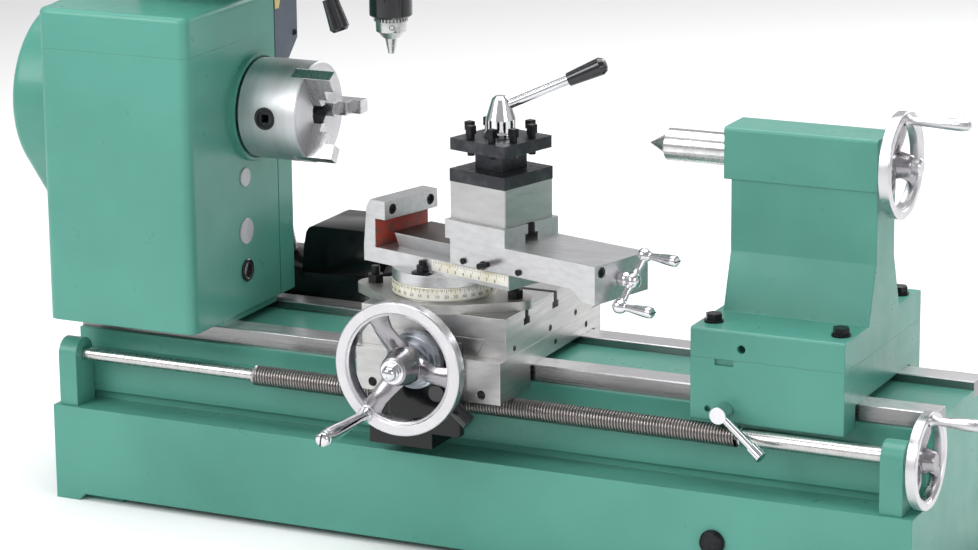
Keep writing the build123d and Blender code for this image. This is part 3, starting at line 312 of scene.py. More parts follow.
GREEN = (0.076, 0.285, 0.225)
SCREW_AXIS = (SCREW_Y * MM, SCREW_Z * MM)
WHEEL_AXIS = (WHEEL[0] * MM, WHEEL[2] * MM)
finish = {
    "green": enamel("green_enamel", GREEN),
    "black": enamel("black_enamel", (0.002, 0.0022, 0.003), 0.14, worn=False),
    "box_grey": enamel("grey_blue_enamel", (0.068, 0.092, 0.13), 0.42),
    # the ground ways darken their upright faces with painted shade (upright=0.2)
    "ways": ground("ground_ways", (0.72, 0.71, 0.72), 0.27, (6, 600, 600), stain=0.1, upright=0.2),
    "saddle": ground("ground_saddle", (0.54, 0.535, 0.53), 0.36, (40, 9, 200), stain=0.1),
    "slide": ground("ground_slides", (0.6, 0.6, 0.605), 0.36, (25, 200, 200), stain=0.03),
    "riser": ground("ground_riser", (0.5, 0.5, 0.495), 0.34, (25, 25, 90), stain=0.03),
    "casting": ground("machined_casting", (0.46, 0.455, 0.44), 0.42, (120, 120, 500), stain=0.35),
    "chuck": turned_metal("turned_chuck", (0.68, 0.68, 0.7), 0.42, 0, (0, SPINDLE_Z * MM), 350),
    "jaws": ground("ground_jaws", (0.57, 0.57, 0.58), 0.25, (500, 60, 60), stain=0.1),
    "quill": turned_metal("turned_quill", (0.66, 0.66, 0.66), 0.2, 0, (0, SPINDLE_Z * MM)),
    "screw": turned_metal("turned_leadscrew", (0.34, 0.32, 0.31), 0.28, 0, SCREW_AXIS),
    "bare_rod": turned_metal("turned_rod", (0.62, 0.61, 0.6), 0.22, 0, SCREW_AXIS),
    "oiled": ground("oiled_dovetail", (0.13, 0.105, 0.09), 0.3, (9, 500, 500)),
    "rods": turned_metal("turned_rods", (0.6, 0.6, 0.6), 0.24, 0, (MOTOR[1] * MM, MOTOR[2] * MM)),
    "drill": turned_metal("turned_drill_spindle", (0.6, 0.6, 0.6), 0.22, 2, (DRILL[0] * MM, 0)),
    "chrome": polished("chrome_plate", (0.72, 0.72, 0.745)),
    "rim": polished("buffed_rim", (0.66, 0.65, 0.67), 0.3),
    "spokes": polished("buffed_spokes", (0.36, 0.345, 0.365), 0.24),
    "oxide": blackened("black_oxide", (0.035, 0.037, 0.042)),
    "oxide_dark": blackened("black_oxide_dark", (0.012, 0.012, 0.014), 0.34),
    "plastic": moulded("black_plastic", (0.006, 0.006, 0.008), 0.14),
    "rubber": moulded("belt_rubber", (0.012, 0.012, 0.012), 0.6),
    "conduit": moulded("conduit_grey", (0.11, 0.11, 0.115), 0.4),
    "dial": turned_metal("turned_dial", (0.36, 0.38, 0.42), 0.3, 1, WHEEL_AXIS, 700),
    "scale": printed("scale_ivory", (0.82, 0.81, 0.75)),
    "ink": moulded("scale_ink", (0.02, 0.02, 0.02), 0.6),
    "label": moulded("plate_grey", (0.36, 0.36, 0.38), 0.35),
    "yellow": moulded("stripe_yellow", (0.55, 0.43, 0.12), 0.4),
    "primer": painted_recess(),
    # painted shade: a near-black finish for thin sheets, rings and discs set inside holes, slots and gaps
    "painted_hole_shade": moulded("recess_black", (0.004, 0.004, 0.004), 0.7),
}

by_node = {
    "green": ["bed_casting", "headstock_casting", "headstock_top", "rear_housing", "belt_cover",
              "tailstock_base", "tailstock_body", "mill_column", "mill_head", "mill_belt_cover",
              "leadscrew_brackets"],
    "black": ["motor_cover", "apron", "mill_motor", "motor_body"],
    "box_grey": ["control_box"],
    "ways": ["bed_ways"],
    "saddle": ["saddle", "cross_slide"],
    "slide": ["compound_base", "compound_slide"],
    "riser": ["riser_block"],
    "casting": ["swivel_base"],
    "chuck": ["chuck_backplate", "chuck_body", "spindle"],
    "jaws": ["chuck_jaw_1", "chuck_jaw_2", "chuck_jaw_3"],
    "quill": ["tailstock_quill", "dead_centre"],
    "rods": ["spindle_pulley", "motor_pulley"],
    "drill": ["mill_quill", "drill_chuck"],
    "chrome": ["crank_handle", "cross_handwheel", "cross_screw", "ball_crank", "clamp_lever",
               "tailstock_lever", "tailstock_handwheel", "leadscrew_handwheel", "feed_levers"],
    "screw": ["leadscrew"],
    "oxide": ["turret", "spacer_plate", "chuck_pinion"],
    "oxide_dark": ["turret_screws", "swivel_bolts", "slide_screws", "tailstock_bolts"],
    "plastic": ["lever_grip", "feed_grips", "half_nut_lever", "drill_sleeve"],
    "rubber": ["drive_belt"],
    "conduit": ["conduit"],
    "dial": ["cross_dial"],
    "label": ["oil_fittings"],
}
for key, names in by_node.items():
    for name in names:
        for slot in nodes[name].material_slots:
            slot.material = finish[key]


# ---- mesh building -----------------------------------------------------------------------------
def basis(direction):
    """Two unit vectors at right angles to a direction, the first as level as it can be."""
    along = Vector(direction).normalized()
    side = along.cross(Z) if abs(along.z) < 0.9 else Vector((1, 0, 0)) - along * along.x
    side.normalize()
    return along, side, along.cross(side)


def add_turned(bm, profile, origin, direction, steps=48, closed=False):
    """Revolves (distance along, radius) pairs round an axis; a closed profile makes a ring."""
    along, side, up = basis(direction)
    rings = []
    for distance, radius in profile:
        centre = Vector(origin) + along * distance
        if radius < 1e-6:
            rings.append([bm.verts.new(centre)])
        else:
            rings.append([bm.verts.new(centre + (side * cos(a) + up * sin(a)) * radius)
                          for a in (2 * pi * i / steps for i in range(steps))])
    pairs = list(zip(rings, rings[1:]))
    if closed:
        pairs.append((rings[-1], rings[0]))
    for first, second in pairs:
        for i in range(steps):
            j = (i + 1) % steps
            corners = [first[i % len(first)], first[j % len(first)],
                       second[j % len(second)], second[i % len(second)]]
            unique = list(dict.fromkeys(corners))
            if len(unique) > 2:
                bm.faces.new(unique)


def add_prism(bm, outline, origin, across, up, length, bevel=0.0, segments=2):
    """Extrudes a flat outline along across × up, with its edges rounded over if asked."""
    across, up = Vector(across).normalized(), Vector(up).normalized()
    normal = across.cross(up)
    near = [bm.verts.new(Vector(origin) + across * a + up * b) for a, b in outline]
    far = [bm.verts.new(v.co + normal * length) for v in near]
    count = len(outline)
    made = [bm.faces.new(near[::-1]), bm.faces.new(far)]
    for i in range(count):
        j = (i + 1) % count
        made.append(bm.faces.new((near[i], near[j], far[j], far[i])))
    if bevel:
        edges = list({e for f in made for e in f.edges})
        bmesh.ops.bevel(bm, geom=edges, offset=bevel, segments=segments, profile=0.5, affect="EDGES",
                        clamp_overlap=True)


def ngon(count, radius, turn=0.0, centre=(0, 0)):
    """Corners of a regular polygon."""
    return [(centre[0] + radius * cos(turn + 2 * pi * i / count),
             centre[1] + radius * sin(turn + 2 * pi * i / count)) for i in range(count)]


def add_loft(bm, sections):
    """Joins closed loops of equal length and caps the two ends."""
    loops = [[bm.verts.new(p) for p in section] for section in sections]
    for first, second in zip(loops, loops[1:]):
        for i in range(len(first)):
            j = (i + 1) % len(first)
            bm.faces.new((first[i], first[j], second[j], second[i]))
    bm.faces.new(loops[0][::-1])
    bm.faces.new(loops[-1])


def flowing(points, parts=5):
    """A Catmull-Rom curve through a profile's points."""
    out = []
    padded = [points[0], *points, points[-1]]
    for p0, p1, p2, p3 in zip(padded, padded[1:], padded[2:], padded[3:]):
        for i in range(parts):
            t = i / parts
            out.append(tuple(0.5 * (2 * b + (c - a) * t + (2 * a - 5 * b + 4 * c - d) * t * t
                                    + (3 * b - a - 3 * c + d) * t ** 3)
                             for a, b, c, d in zip(p0, p1, p2, p3)))
    out.append(tuple(points[-1]))
    return [(along, max(radius, 0.0)) for along, radius in out]


def piece(name, bm, body, key, replaces=(), sharp=32):
    """Turns millimetre mesh data into a finished piece that rides on a body."""
    bmesh.ops.scale(bm, vec=(MM, MM, MM), verts=bm.verts)
    bmesh.ops.recalc_face_normals(bm, faces=bm.faces)
    mesh = bpy.data.meshes.new(name)
    bm.to_mesh(mesh)
    bm.free()
    mesh.shade_smooth()
    mesh.set_sharp_from_angle(angle=radians(sharp))
    mesh.materials.append(finish[key])
    made = bpy.data.objects.new(name, mesh)
    bpy.context.scene.collection.objects.link(made)
    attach(made, body)
    if replaces:
        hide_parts(*replaces)
    return made


def lettering(name, marks, body):
    """Flat numerals, each given as text, height, place, reading direction and upward direction."""
    joined = bmesh.new()
    for text, height, spot, across, up in marks:
        curve = bpy.data.curves.new("numeral", "FONT")
        curve.body = text
        curve.size = height * 1.4
        curve.align_x = curve.align_y = "CENTER"
        curve.resolution_u = 2
        curve.extrude = 0.05
        holder = bpy.data.objects.new("numeral", curve)
        bpy.context.scene.collection.objects.link(holder)
        bpy.context.view_layer.update()
        depsgraph = bpy.context.evaluated_depsgraph_get()
        mesh = bpy.data.meshes.new_from_object(holder.evaluated_get(depsgraph))
        across, up = Vector(across).normalized(), Vector(up).normalized()
        turn = Matrix((across, up, across.cross(up))).transposed().to_4x4()
        mesh.transform(Matrix.Translation(spot) @ turn)
        joined.from_mesh(mesh)
        bpy.data.objects.remove(holder)
        bpy.data.curves.remove(curve)
        bpy.data.meshes.remove(mesh)
    return piece(name, joined, body, "ink")


# ---- leadscrew ---------------------------------------------------------------------------------
THREAD = (-229, 279)
PITCH = 3.0


def add_thread(bm, origin, direction, length, root, crest, steps=20):
    """A helical ridge of one start, with flat crest, all round a rod."""
    along, side, up = basis(direction)
    turns = int(length / PITCH)
    profile = ((0.0, root), (0.32, crest), (0.62, crest))
    rows = []
    for i in range(turns * steps + 1):
        angle = 2 * pi * i / steps
        spoke = side * cos(angle) + up * sin(angle)
        base = Vector(origin) + along * (PITCH * i / steps)
        rows.append([bm.verts.new(base + along * (PITCH * p) + spoke * r) for p, r in profile])
    for i in range(turns * steps):
        first, second = rows[i], rows[i + 1]
        for k in range(2):
            bm.faces.new((first[k], second[k], second[k + 1], first[k + 1]))
        if i + steps < len(rows) - 1:
            ahead, ahead_next = rows[i + steps], rows[i + steps + 1]
            bm.faces.new((first[2], second[2], ahead_next[0], ahead[0]))


bm = bmesh.new()
add_thread(bm, (THREAD[0], SCREW_Y, SCREW_Z), X, THREAD[1] - THREAD[0] - PITCH, 8.0, 10.0)
axis = (0, SCREW_Y, SCREW_Z)
piece("leadscrew_threaded", bm, "leadscrew", "screw", ["leadscrew"])
bm = bmesh.new()
add_turned(bm, [(-440, 0), (-440, 6.2), (-232, 6.2), (-231, 7.2), (-230, 9.6), (-228.5, 9.9),
                (-226.5, 8.0), (-226.5, 0)], axis, X, 32)
add_turned(bm, [(276, 0), (276, 8.0), (279, 9.6), (280, 9.2), (281, 7.4), (284, 7.4), (285, 7.8),
                (461, 7.8), (462, 7), (462, 0)], axis, X, 32)
piece("leadscrew_plain_ends", bm, "leadscrew", "bare_rod")


# ---- handwheels and handles --------------------------------------------------------------------
def add_wheel(bm, spider, centre, direction, hub, rim, depth, angles):
    """Dished handwheel, its rim in one mesh and its hub and spokes in another.

    hub is (start, end, radius) and rim is (start, end, inner, outer), along the axis.
    """
    along, side, up = basis(direction)
    start, end, hub_radius = hub
    near, far, inner, outer = rim
    broken = (outer - inner) * 0.07
    add_turned(bm, [(near, inner + broken), (near + broken, inner), (far - 4, inner),
                    (far - 2.2, inner + 0.5), (far - 1.4, inner + 1.6), (far - 1.6, inner + 2.6),
                    (far - 0.6, inner + 3.1), (far, inner + 3.7), (far, outer - broken),
                    (far - broken, outer), (near + broken, outer - 0.6), (near, outer - 0.6 - broken)],
                    centre, direction, 128, closed=True)
    boss = [(start, 0), (start, hub_radius * 0.92), (start + 2, hub_radius),
            (start + depth, hub_radius), (start + depth + 2, hub_radius * 0.94),
            (end - 4, hub_radius * 0.8), (end - 1, hub_radius * 0.74), (end, hub_radius * 0.66),
            (end, 0)]
    add_turned(spider, boss, centre, direction, 48)
    for angle in angles:
        out = -(side * cos(radians(angle)) + up * sin(radians(angle)))
        across = along.cross(out)
        stations = ((hub_radius * 0.5, 11.5, 7.0, start + depth * 0.55),
                    (hub_radius * 1.0, 10.5, 6.0, start + depth * 0.52),
                    (hub_radius * 1.45, 9.4, 5.4, (start + depth * 0.5 + (near + far) / 2) / 2),
                    (inner * 0.75, 8.6, 5.0, (near + far) / 2),
                    (inner * 0.92, 9.4, 5.1, (near + far) / 2),
                    (inner + 2.5, 12.0, 5.2, (near + far) / 2))
        scale = inner / 51
        sections = []
        for reach, half_wide, half_thick, level in stations:
            middle = Vector(centre) + out * reach + along * level
            wide, thick = half_wide * scale, half_thick * scale
            shape = ((-1, -0.35), (-1, 0.25), (-0.55, 0.85), (0, 1), (0.55, 0.85), (1, 0.25),
                     (1, -0.35), (0.6, -0.9), (-0.6, -0.9))
            sections.append([middle + across * (wide * a) + along * (thick * b) for a, b in shape])
        add_loft(spider, sections)


WHEEL_SPOKES = (355, 115, 235)
CRANK_REACH, CRANK_ANGLE = 57.5, radians(235)
crank = (WHEEL[0] + CRANK_REACH * cos(CRANK_ANGLE), 0, WHEEL[2] + CRANK_REACH * sin(CRANK_ANGLE))
bm = bmesh.new()
spider = bmesh.new()
add_wheel(bm, spider, WHEEL, -Y, (180.3, 213.5, 18), (190.5, 205, 50.5, 64), 14, WHEEL_SPOKES)
add_turned(bm, [(190.5, 0), (190.5, 8.5), (203.5, 8.5), (204, 7.5), (204, 0)], crank, -Y, 32)
piece("cross_wheel", bm, "cross_drive", "rim", ["cross_handwheel"])
piece("cross_wheel_spokes", spider, "cross_drive", "spokes")

bm = bmesh.new()
add_turned(bm, [(-50, 0), (-50, 6.9), (213, 6.9), (213, 11.5), (214.5, 11.5), (214.5, 0)], WHEEL, -Y,
           32)
add_prism(bm, ngon(6, 8.6), (WHEEL[0], -214.5, WHEEL[2]), X, Z, 4.6, 0.5)
add_turned(bm, flowing([(218.5, 7.2), (221, 7.1), (223.4, 6.0), (225.2, 3.8), (225.9, 0)]), WHEEL, -Y,
           32)
piece("acorn_nut", bm, "cross_drive", "chrome", ["cross_screw"])

bm = bmesh.new()
add_turned(bm, [(191, 0), (191, 2.9), (204.3, 2.9), (204.3, 7.2)]
           + flowing([(204.6, 7.6), (207, 7.4), (211, 5.4), (218, 4.9), (240, 6.0), (265, 7.4),
                      (282, 7.7)])
           + [(287, 7.3), (287.6, 6.6), (288.4, 6.6), (289, 7.2)]
           + flowing([(289, 7.2), (292, 6.4), (293.6, 4.2), (294, 0)]), crank, -Y, 40)
piece("crank_handle_turned", bm, "crank", "chrome", ["crank_handle"])
bm = bmesh.new()
# painted shade: a thin near-black sheet in the slot across the handle's end, for the shade inside it
add_prism(bm, [(-5.8, -0.7), (5.8, -0.7), (5.8, 0.7), (-5.8, 0.7)], (crank[0], -293.2, crank[2]),
          (0.17, 0, 1), (-1, 0, 0.17), 0.9)
piece("crank_handle_slot", bm, "crank", "painted_hole_shade")

for name, body, node, centre, hub, rim, handle in (
        ("tail_wheel", "quill_drive", "tailstock_handwheel", (0, 0, SPINDLE_Z),
         (378.4, 401.5, 13), (384, 395, 39, 50), (395, 455, 42)),
        ("leadscrew_wheel", "leadscrew", "leadscrew_handwheel", (0, SCREW_Y, SCREW_Z),
         (446.2, 465.5, 12), (451, 461, 35, 45), (460, 506, 38))):
    bm = bmesh.new()
    spider = bmesh.new()
    add_wheel(bm, spider, centre, X, hub, rim, 9, (90, 210, 330))
    if name == "tail_wheel":
        add_turned(bm, [(262, 0), (262, 7.9), (408, 7.9), (410, 6), (410, 0)], centre, X, 32)
    start, end, reach = handle
    spot = (0, centre[1], centre[2] + reach)
    add_turned(bm, [(start - 8, 0), (start - 8, 4), (start, 4), (start, 5.8)]
               + flowing([(start, 5.8), (start + 4, 4.2), (start + 12, 4.0), (end - 14, 5.8),
                          (end - 5, 5.6)])
               + [(end - 1.5, 4.6), (end, 2.6), (end, 0)], spot, X, 32)
    piece(name, bm, body, "rim", [node])
    piece(name + "_spokes", spider, body, "spokes")

# ---- ball crank of the compound ----------------------------------------------------------------
COMPOUND_TURN = radians(-16.1)
SWIVEL = Vector((-36, -82, 0))
along_slide = Vector((cos(COMPOUND_TURN), sin(COMPOUND_TURN), 0))
across_slide = Vector((-sin(COMPOUND_TURN), cos(COMPOUND_TURN), 0))


def on_slide(d, w, z):
    """A point given along and across the compound rest."""
    return SWIVEL + along_slide * d + across_slide * w + Z * z


crank_hub = on_slide(231, 0, 295)
crank_arm = (across_slide * sin(radians(41)) + Z * cos(radians(41))).normalized()
bm = bmesh.new()
# painted shade: thin near-black sheets in the slots at the grip ends, for the shade inside them
slots = bmesh.new()
add_turned(bm, [(-167, 0), (-167, 5), (-12.7, 5), (-12.7, 7), (-9, 7.4), (-5, 7.4), (-3, 6.2)]
           + flowing([(-3, 6.2), (0, 7.6), (4, 7.0), (6.5, 4.2), (7.4, 0)]), crank_hub, along_slide, 40)
for side in (-1, 1):
    tip = crank_hub + crank_arm * (27 * side)
    add_turned(bm, flowing([(0, 5.4), (10, 3.3), (20, 3.5)]) + [(27, 3.9), (27, 0)], crank_hub,
               crank_arm * side, 28)
    add_turned(bm, [(-7, 0), (-6.6, 3)] + flowing([(-6.2, 3.9), (-3.5, 6.3), (0, 6.8), (4, 5.6),
                                                   (6.5, 3.6)])
               + flowing([(7, 3.4), (12, 3.6), (24, 4.9), (33, 5.5)]) + [(36.5, 5.0), (38, 3.6), (38, 0)],
               tip, along_slide, 36)
    add_prism(slots, [(-4.4, -0.5), (4.4, -0.5), (4.4, 0.5), (-4.4, 0.5)], tip + along_slide * 37.4,
              across_slide, Z, 0.9)
piece("ball_crank_turned", bm, "compound_crank", "chrome", ["ball_crank"])
piece("ball_crank_slots", slots, "compound_crank", "painted_hole_shade")

# ---- cross-feed dial ---------------------------------------------------------------------------
bm = bmesh.new()
add_turned(bm, [(152.3, 7.2), (152.3, 20.5), (153, 21), (160, 21), (160, 26.4), (160.6, 27),
                (168.5, 27), (169, 26.2), (170.2, 26.2), (170.7, 27), (172, 27), (173, 24.5),
                (174.4, 23.8), (175.4, 20.4), (178.6, 19.8), (179.9, 17.5), (179.9, 7.2)], WHEEL, -Y,
                96, closed=True)
for i in range(60):
    angle = 2 * pi * i / 60
    along, side, up = basis(-Y)
    out = side * cos(angle) + up * sin(angle)
    flank = along.cross(out)
    tall = 6.2 if i % 5 == 0 else 3.6
    base = Vector(WHEEL) + along * 161.2 + out * 26.85
    add_prism(bm, [(-0.22, 0), (0.22, 0), (0.22, tall), (-0.22, tall)], base, flank, along, -0.28)
piece("cross_dial_turned", bm, "cross_drive", "dial", ["cross_dial"])

# ---- swivel ring and rule ----------------------------------------------------------------------
RING = 50
bm = bmesh.new()
add_turned(bm, [(249.4, RING - 1), (249.4, RING + 0.1), (249.9, RING + 0.45), (261.2, RING + 0.45),
                (261.7, RING + 0.1), (261.7, RING - 1)], SWIVEL, Z, 128, closed=True)
piece("degree_ring", bm, "cross", "scale")

bm = bmesh.new()
numerals = []
for degree in range(-90, 91):
    angle = radians(degree - 82)
    out = Vector((cos(angle), sin(angle), 0))
    flank = Vector((-sin(angle), cos(angle), 0))
    tall = 4.6 if degree % 10 == 0 else 3.4 if degree % 5 == 0 else 2.2
    base = SWIVEL + out * (RING + 0.4) + Z * 261.2
    if degree % 2 == 0 or degree % 5 == 0:
        add_prism(bm, [(-0.16, -tall), (0.16, -tall), (0.16, 0), (-0.16, 0)], base, flank, Z, 0.12)
    if degree % 10 == 0:
        numerals.append((str(abs(degree)), 3.2, SWIVEL + out * (RING + 0.48) + Z * 253.6, flank, Z))
piece("degree_marks", bm, "cross", "ink")
lettering("degree_numerals", numerals, "cross")

bm = bmesh.new()
add_prism(bm, [(18, 277), (113.4, 277), (113.4, 287.4), (18, 287.4)], on_slide(0, -36.9, 0),
          along_slide, Z, 0.7, 0.15)
piece("slide_rule", bm, "compound", "scale")
bm = bmesh.new()
numerals = []
RULE_ZERO, RULE_PITCH, RULE_MARKS = 21, 1.96, 47
for step in range(RULE_MARKS):
    tall = 5.0 if step % 5 == 0 else 2.6
    d = RULE_ZERO + step * RULE_PITCH
    add_prism(bm, [(-0.15, -tall), (0.15, -tall), (0.15, 0), (-0.15, 0)], on_slide(d, -37.55, 287.2),
              along_slide, Z, 0.14)
    if step % 5 == 0 and 0 < step < 45:
        numerals.append((str(step // 5), 3.2, on_slide(d - 2.4, -37.66, 279.6), along_slide, Z))
piece("rule_marks", bm, "compound", "ink")
lettering("rule_numerals", numerals, "compound")


# ---- screws, nuts and recesses -----------------------------------------------------------------
def add_socket_screw(bm, spot, direction, radius, proud=0.6):
    """Rim of a cap screw sunk in its counterbore, with a hexagon socket."""
    add_turned(bm, [(-0.4, radius * 0.98), (proud * 0.4, radius), (proud, radius * 0.9),
                    (proud, radius * 0.72), (proud * 0.2, radius * 0.68), (-0.4, radius * 0.66)], spot,
                    direction, 32, closed=True)
    add_turned(bm, [(proud * 0.3, radius * 0.62), (proud * 0.3, radius * 0.34), (-0.3, radius * 0.3),
                    (-0.3, 0)],
               spot, direction, 6)


def add_hex_bolt(bm, spot, direction, across_flats, height, washer=0.0, stud=0.0):
    """Hexagon head on a washer, chamfered on top, with a stud end standing out of it if asked."""
    radius = across_flats / 2 / cos(pi / 6)
    if washer:
        add_turned(bm, [(0, 0), (0, across_flats * 0.98), (washer * 0.8, across_flats),
                        (washer, across_flats * 0.93), (washer, 0)], spot, direction, 40)
    add_turned(bm, [(washer, 0), (washer, radius)] + [(washer + height * 0.85, radius),
                    (washer + height, radius * 0.86), (washer + height, 0)], spot, direction, 6)
    if stud:
        add_turned(bm, [(washer + height, 0), (washer + height, stud),
                        (washer + height + stud * 1.2, stud),
                        (washer + height + stud * 1.5, stud * 0.75), (washer + height + stud * 1.5, 0)],
                   spot, direction, 24)


bm = bmesh.new()
for w in (-26, 27):
    add_socket_screw(bm, on_slide(-44, w, 325), along_slide, 4.8)
piece("jaw_screws", bm, "compound", "oxide_dark")

bm = bmesh.new()
add_hex_bolt(bm, (-40, -122, 273), Z, 10, 6.5, 1.6, 3)
add_hex_bolt(bm, (-86, -64, 273), Z, 10, 6.5, 1.6, 3)
piece("swivel_clamp_bolts", bm, "compound", "oxide_dark")

bm = bmesh.new()
add_prism(bm, [(-36.6, 288.2), (36.6, 288.2), (36.6, 315.9), (-36.6, 315.9)], on_slide(-54.9, 0, 0),
          across_slide, Z, 0.5, 0.1)
piece("jaw_recess_paint", bm, "compound", "primer")

bm = bmesh.new()
add_socket_screw(bm, on_slide(215.5, -28, 306), along_slide, 4.7)
piece("slide_end_screw", bm, "top_slide", "oxide_dark")

bm = bmesh.new()
for hole_y, hole_z, radius in ((-110, 206.5, 2.8), (-29, 206, 3.2), (30, 207, 2.8)):
    add_socket_screw(bm, (50, hole_y, hole_z), X, radius, 0.3)
piece("gib_screws", bm, "cross", "oxide_dark")
bm = bmesh.new()
for hole_y, hole_z, radius in ((-17, 189.5, 2.8), (55, 188, 2.8)):
    add_socket_screw(bm, (50, hole_y, hole_z), X, radius, 0.3)
piece("saddle_screws", bm, "carriage", "oxide_dark")

bm = bmesh.new()
add_prism(bm, [(-27.6, 302.9), (27.6, 302.9), (27.6, 303.2), (-27.6, 303.2)], on_slide(-41.8, 0, 0),
          across_slide, Z, 77)
piece("oiled_tongue", bm, "compound", "oiled")

# ---- motor -------------------------------------------------------------------------------------
MOTOR_RADIUS, FIN_TIP, FINS = 54.5, 57.8, 36
FIN_ROOT = MOTOR_RADIUS - 1
fin = FIN_TIP - FIN_ROOT
bm = bmesh.new()
add_turned(bm, [(-348, 0), (-348, 40), (-346, 47), (-341, 52), (-333, MOTOR_RADIUS),
                (-186, MOTOR_RADIUS), (-178, 52), (-172, 47), (-170, 40), (-170, 0)], MOTOR, X, 72)
for step in range(FINS):
    angle = 2 * pi * step / FINS
    out = Vector((0, cos(angle), sin(angle)))
    if out.z > 0.72:
        continue
    flank = X.cross(out)
    base = Vector(MOTOR) + out * FIN_ROOT
    add_prism(bm, [(-0.9, 0), (0.9, 0), (0.6, fin), (-0.6, fin)], base + X * -334, flank, out, 148)
for foot in (-300, -220):
    add_prism(bm, [(-20, 0), (20, 0), (20, 80), (-20, 80)], (foot, 131, 42), X, Z, -26, 1.5)
piece("motor_finned", bm, "bed", "black", ["motor_body"])

bm = bmesh.new()
add_prism(bm, [(-205, 178), (-205, 243), (-281, 243), (-287, 241), (-290.5, 236), (-293, 222),
               (-295, 200), (-296.5, 190), (-299, 184), (-303, 180), (-303, 178)], (0, 110, 0), X, Z,
               -80, 4, 3)
piece("motor_cover_rounded", bm, "bed", "black", ["motor_cover"])


# ---- conduit -----------------------------------------------------------------------------------
def rounded_path(points, radii, spacing=1.1):
    """Evenly spaced points along straight runs joined by arcs."""
    path = [Vector(points[0])]
    for before, corner, after, radius in zip(points, points[1:], points[2:], radii):
        before, corner, after = Vector(before), Vector(corner), Vector(after)
        into, away = (corner - before).normalized(), (after - corner).normalized()
        turn = into.angle(away)
        cut = radius * sin(turn / 2) / cos(turn / 2)
        first, last = corner - into * cut, corner + away * cut
        middle = corner + (away - into).normalized() * (radius / cos(turn / 2))
        path.append(first)
        steps = max(4, int(radius * turn / spacing))
        arm, end_arm = first - middle, last - middle
        for i in range(1, steps + 1):
            path.append(middle + arm.slerp(end_arm, i / steps))
    path.append(Vector(points[-1]))
    even, carry = [path[0]], 0.0
    for a, b in zip(path, path[1:]):
        length = (b - a).length
        while carry + spacing <= length:
            carry += spacing
            even.append(a.lerp(b, carry / length))
        carry -= length
    return even


def add_corrugated(bm, path, crest, root, steps=20):
    """A tube along a path whose radius rises and falls at every point."""
    side = (path[1] - path[0]).cross(Z).normalized()
    rings = []
    for i, point in enumerate(path):
        ahead = (path[min(i + 1, len(path) - 1)] - path[max(i - 1, 0)]).normalized()
        side = (side - ahead * side.dot(ahead)).normalized()
        up = ahead.cross(side)
        radius = (root, (root + crest) / 2, crest, crest, (root + crest) / 2)[i % 5] if 2 < i else crest
        rings.append([bm.verts.new(point + (side * cos(a) + up * sin(a)) * radius)
                      for a in (2 * pi * k / steps for k in range(steps))])
    for first, second in zip(rings, rings[1:]):
        for k in range(steps):
            j = (k + 1) % steps
            bm.faces.new((first[k], first[j], second[j], second[k]))
    bm.faces.new(rings[0][::-1])
    bm.faces.new(rings[-1])


bm = bmesh.new()
route = [(-346, 72, 258), (-346, 116, 258), (-304, 122, 256), (-320, 132, 209)]
add_corrugated(bm, rounded_path(route, (18, 14), 0.75), 7.0, 5.9)
piece("conduit_ribbed", bm, "bed", "conduit", ["conduit"])

# ---- headstock and chuck -----------------------------------------------------------------------
# painted shade: a thin near-black ring for the shade in the gap round the chuck's key pinion
bm = bmesh.new()
add_turned(bm, [(-49.9, 11.2), (-49.9, 8.6), (-50.5, 8.2), (-50.7, 8.6), (-50.7, 10.8), (-50.2, 11.2)],
           (-246, 0, SPINDLE_Z), Y, 40, closed=True)
piece("pinion_ring", bm, "spindle", "painted_hole_shade")

bm = bmesh.new()
for height, radius in ((323, 9.4), (268, 12.9)):
    add_turned(bm, [(-284, 0), (-284, radius), (-282.8, radius), (-282.5, radius - 0.4), (-282.5, 0)],
               (0, -25, height), X, 48)
piece("cover_discs", bm, "bed", "label", ["oil_fittings"])
bm = bmesh.new()
add_turned(bm, [(-284, 0), (-284, 11.5), (-282.6, 11.5), (-282, 10.6), (-282, 8.8), (-282.8, 8.2),
                (-282.4, 5), (-282.2, 0)], (0, -25, 228), X, 48)
piece("sight_glass", bm, "bed", "plastic")
bm = bmesh.new()
add_turned(bm, [(130, 0), (130, 12.3), (131.2, 12.3), (131.6, 11.6), (131.8, 11.4), (135.2, 11.2),
                (136, 10.2), (136, 0)], (259, 0, 50), -Y, 48)
piece("drain_plug", bm, "bed", "oxide_dark")

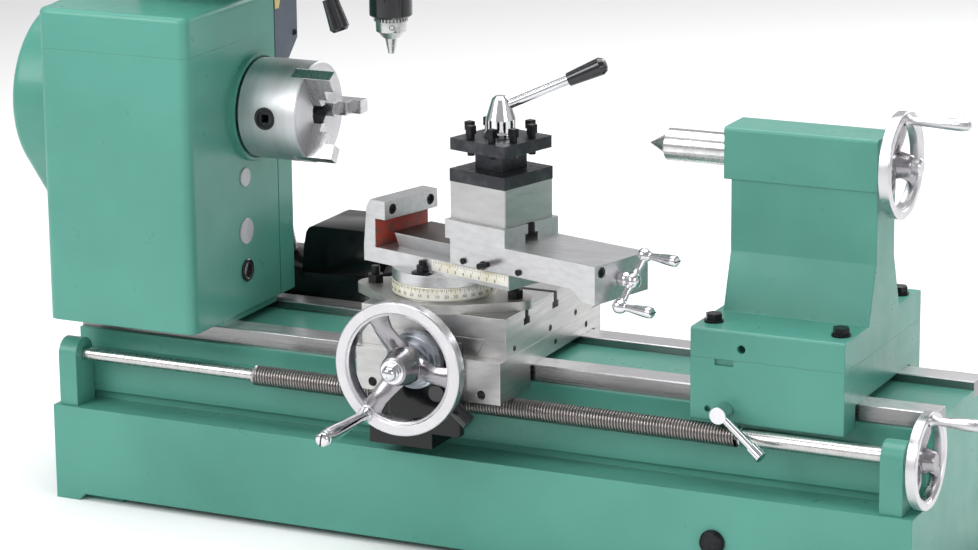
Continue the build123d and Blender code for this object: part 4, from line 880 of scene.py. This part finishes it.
# ---- control box -------------------------------------------------------------------------------
bm = bmesh.new()
add_prism(bm, [(44, 480), (52, 480), (60, 504), (44, 538)], (-283.7, 0, 0), Y, Z, 0.35)
piece("box_stripe", bm, "bed", "yellow")
bm = bmesh.new()
for spot_y, spot_z in ((84, 450), (84, 532)):
    add_socket_screw(bm, (-284, spot_y, spot_z), X, 3.2, 1.2)
piece("box_screws", bm, "bed", "oxide_dark")

# ---- drill chuck -------------------------------------------------------------------------------
bm = bmesh.new()
add_turned(bm, [(455, 0), (455, 3.2), (470, 6.2), (470.2, 8.3), (477, 14.8), (478, 15), (487, 15),
                (487, 13.5), (491.5, 13), (526, 13), (526, 9), (532, 9), (532, 12), (728, 12),
                (728, 0)], DRILL, Z, 48)
for tooth in range(30):
    angle = 2 * pi * tooth / 30
    out, flank = Vector((cos(angle), sin(angle), 0)), Vector((-sin(angle), cos(angle), 0))
    add_prism(bm, [(-0.95, 487.2), (0.95, 487.2), (0.45, 491), (-0.45, 491)],
              Vector(DRILL) + out * 13.2, flank, Z, 3.4)
piece("drill_chuck_toothed", bm, "mill_spindle", "drill", ["drill_chuck"])
# painted shade: near-black discs for the shade inside the drill chuck's three key holes
bm = bmesh.new()
for degree in (-60, 60, 180):
    out = Vector((cos(radians(degree)), sin(radians(degree)), 0))
    add_turned(bm, [(14.4, 0), (14.4, 2.6), (15.15, 2.6), (15.15, 2.1), (14.7, 2.0), (14.7, 0)],
               Vector(DRILL) + Z * 482.5, out, 20)
piece("drill_key_holes", bm, "mill_spindle", "painted_hole_shade")

# ---- floor -------------------------------------------------------------------------------------
FLOOR = 40.0
floor_mesh = bpy.data.meshes.new("floor")
floor_mesh.from_pydata([(-FLOOR, -FLOOR, 0), (FLOOR, -FLOOR, 0), (FLOOR, FLOOR, 0), (-FLOOR, FLOOR, 0)],
                       [], [(0, 1, 2, 3)])
floor = bpy.data.objects.new("floor", floor_mesh)
bpy.context.scene.collection.objects.link(floor)
floor_finish = Finish("floor_pale", (0.95, 0.95, 0.95), 0.9, specular=0.0)
patches = floor_finish.noise(0.8, 2)
floor_finish.colour(floor_finish.mix(patches, (0.93, 0.93, 0.93), (0.96, 0.96, 0.96)))
floor_mesh.materials.append(floor_finish.material)
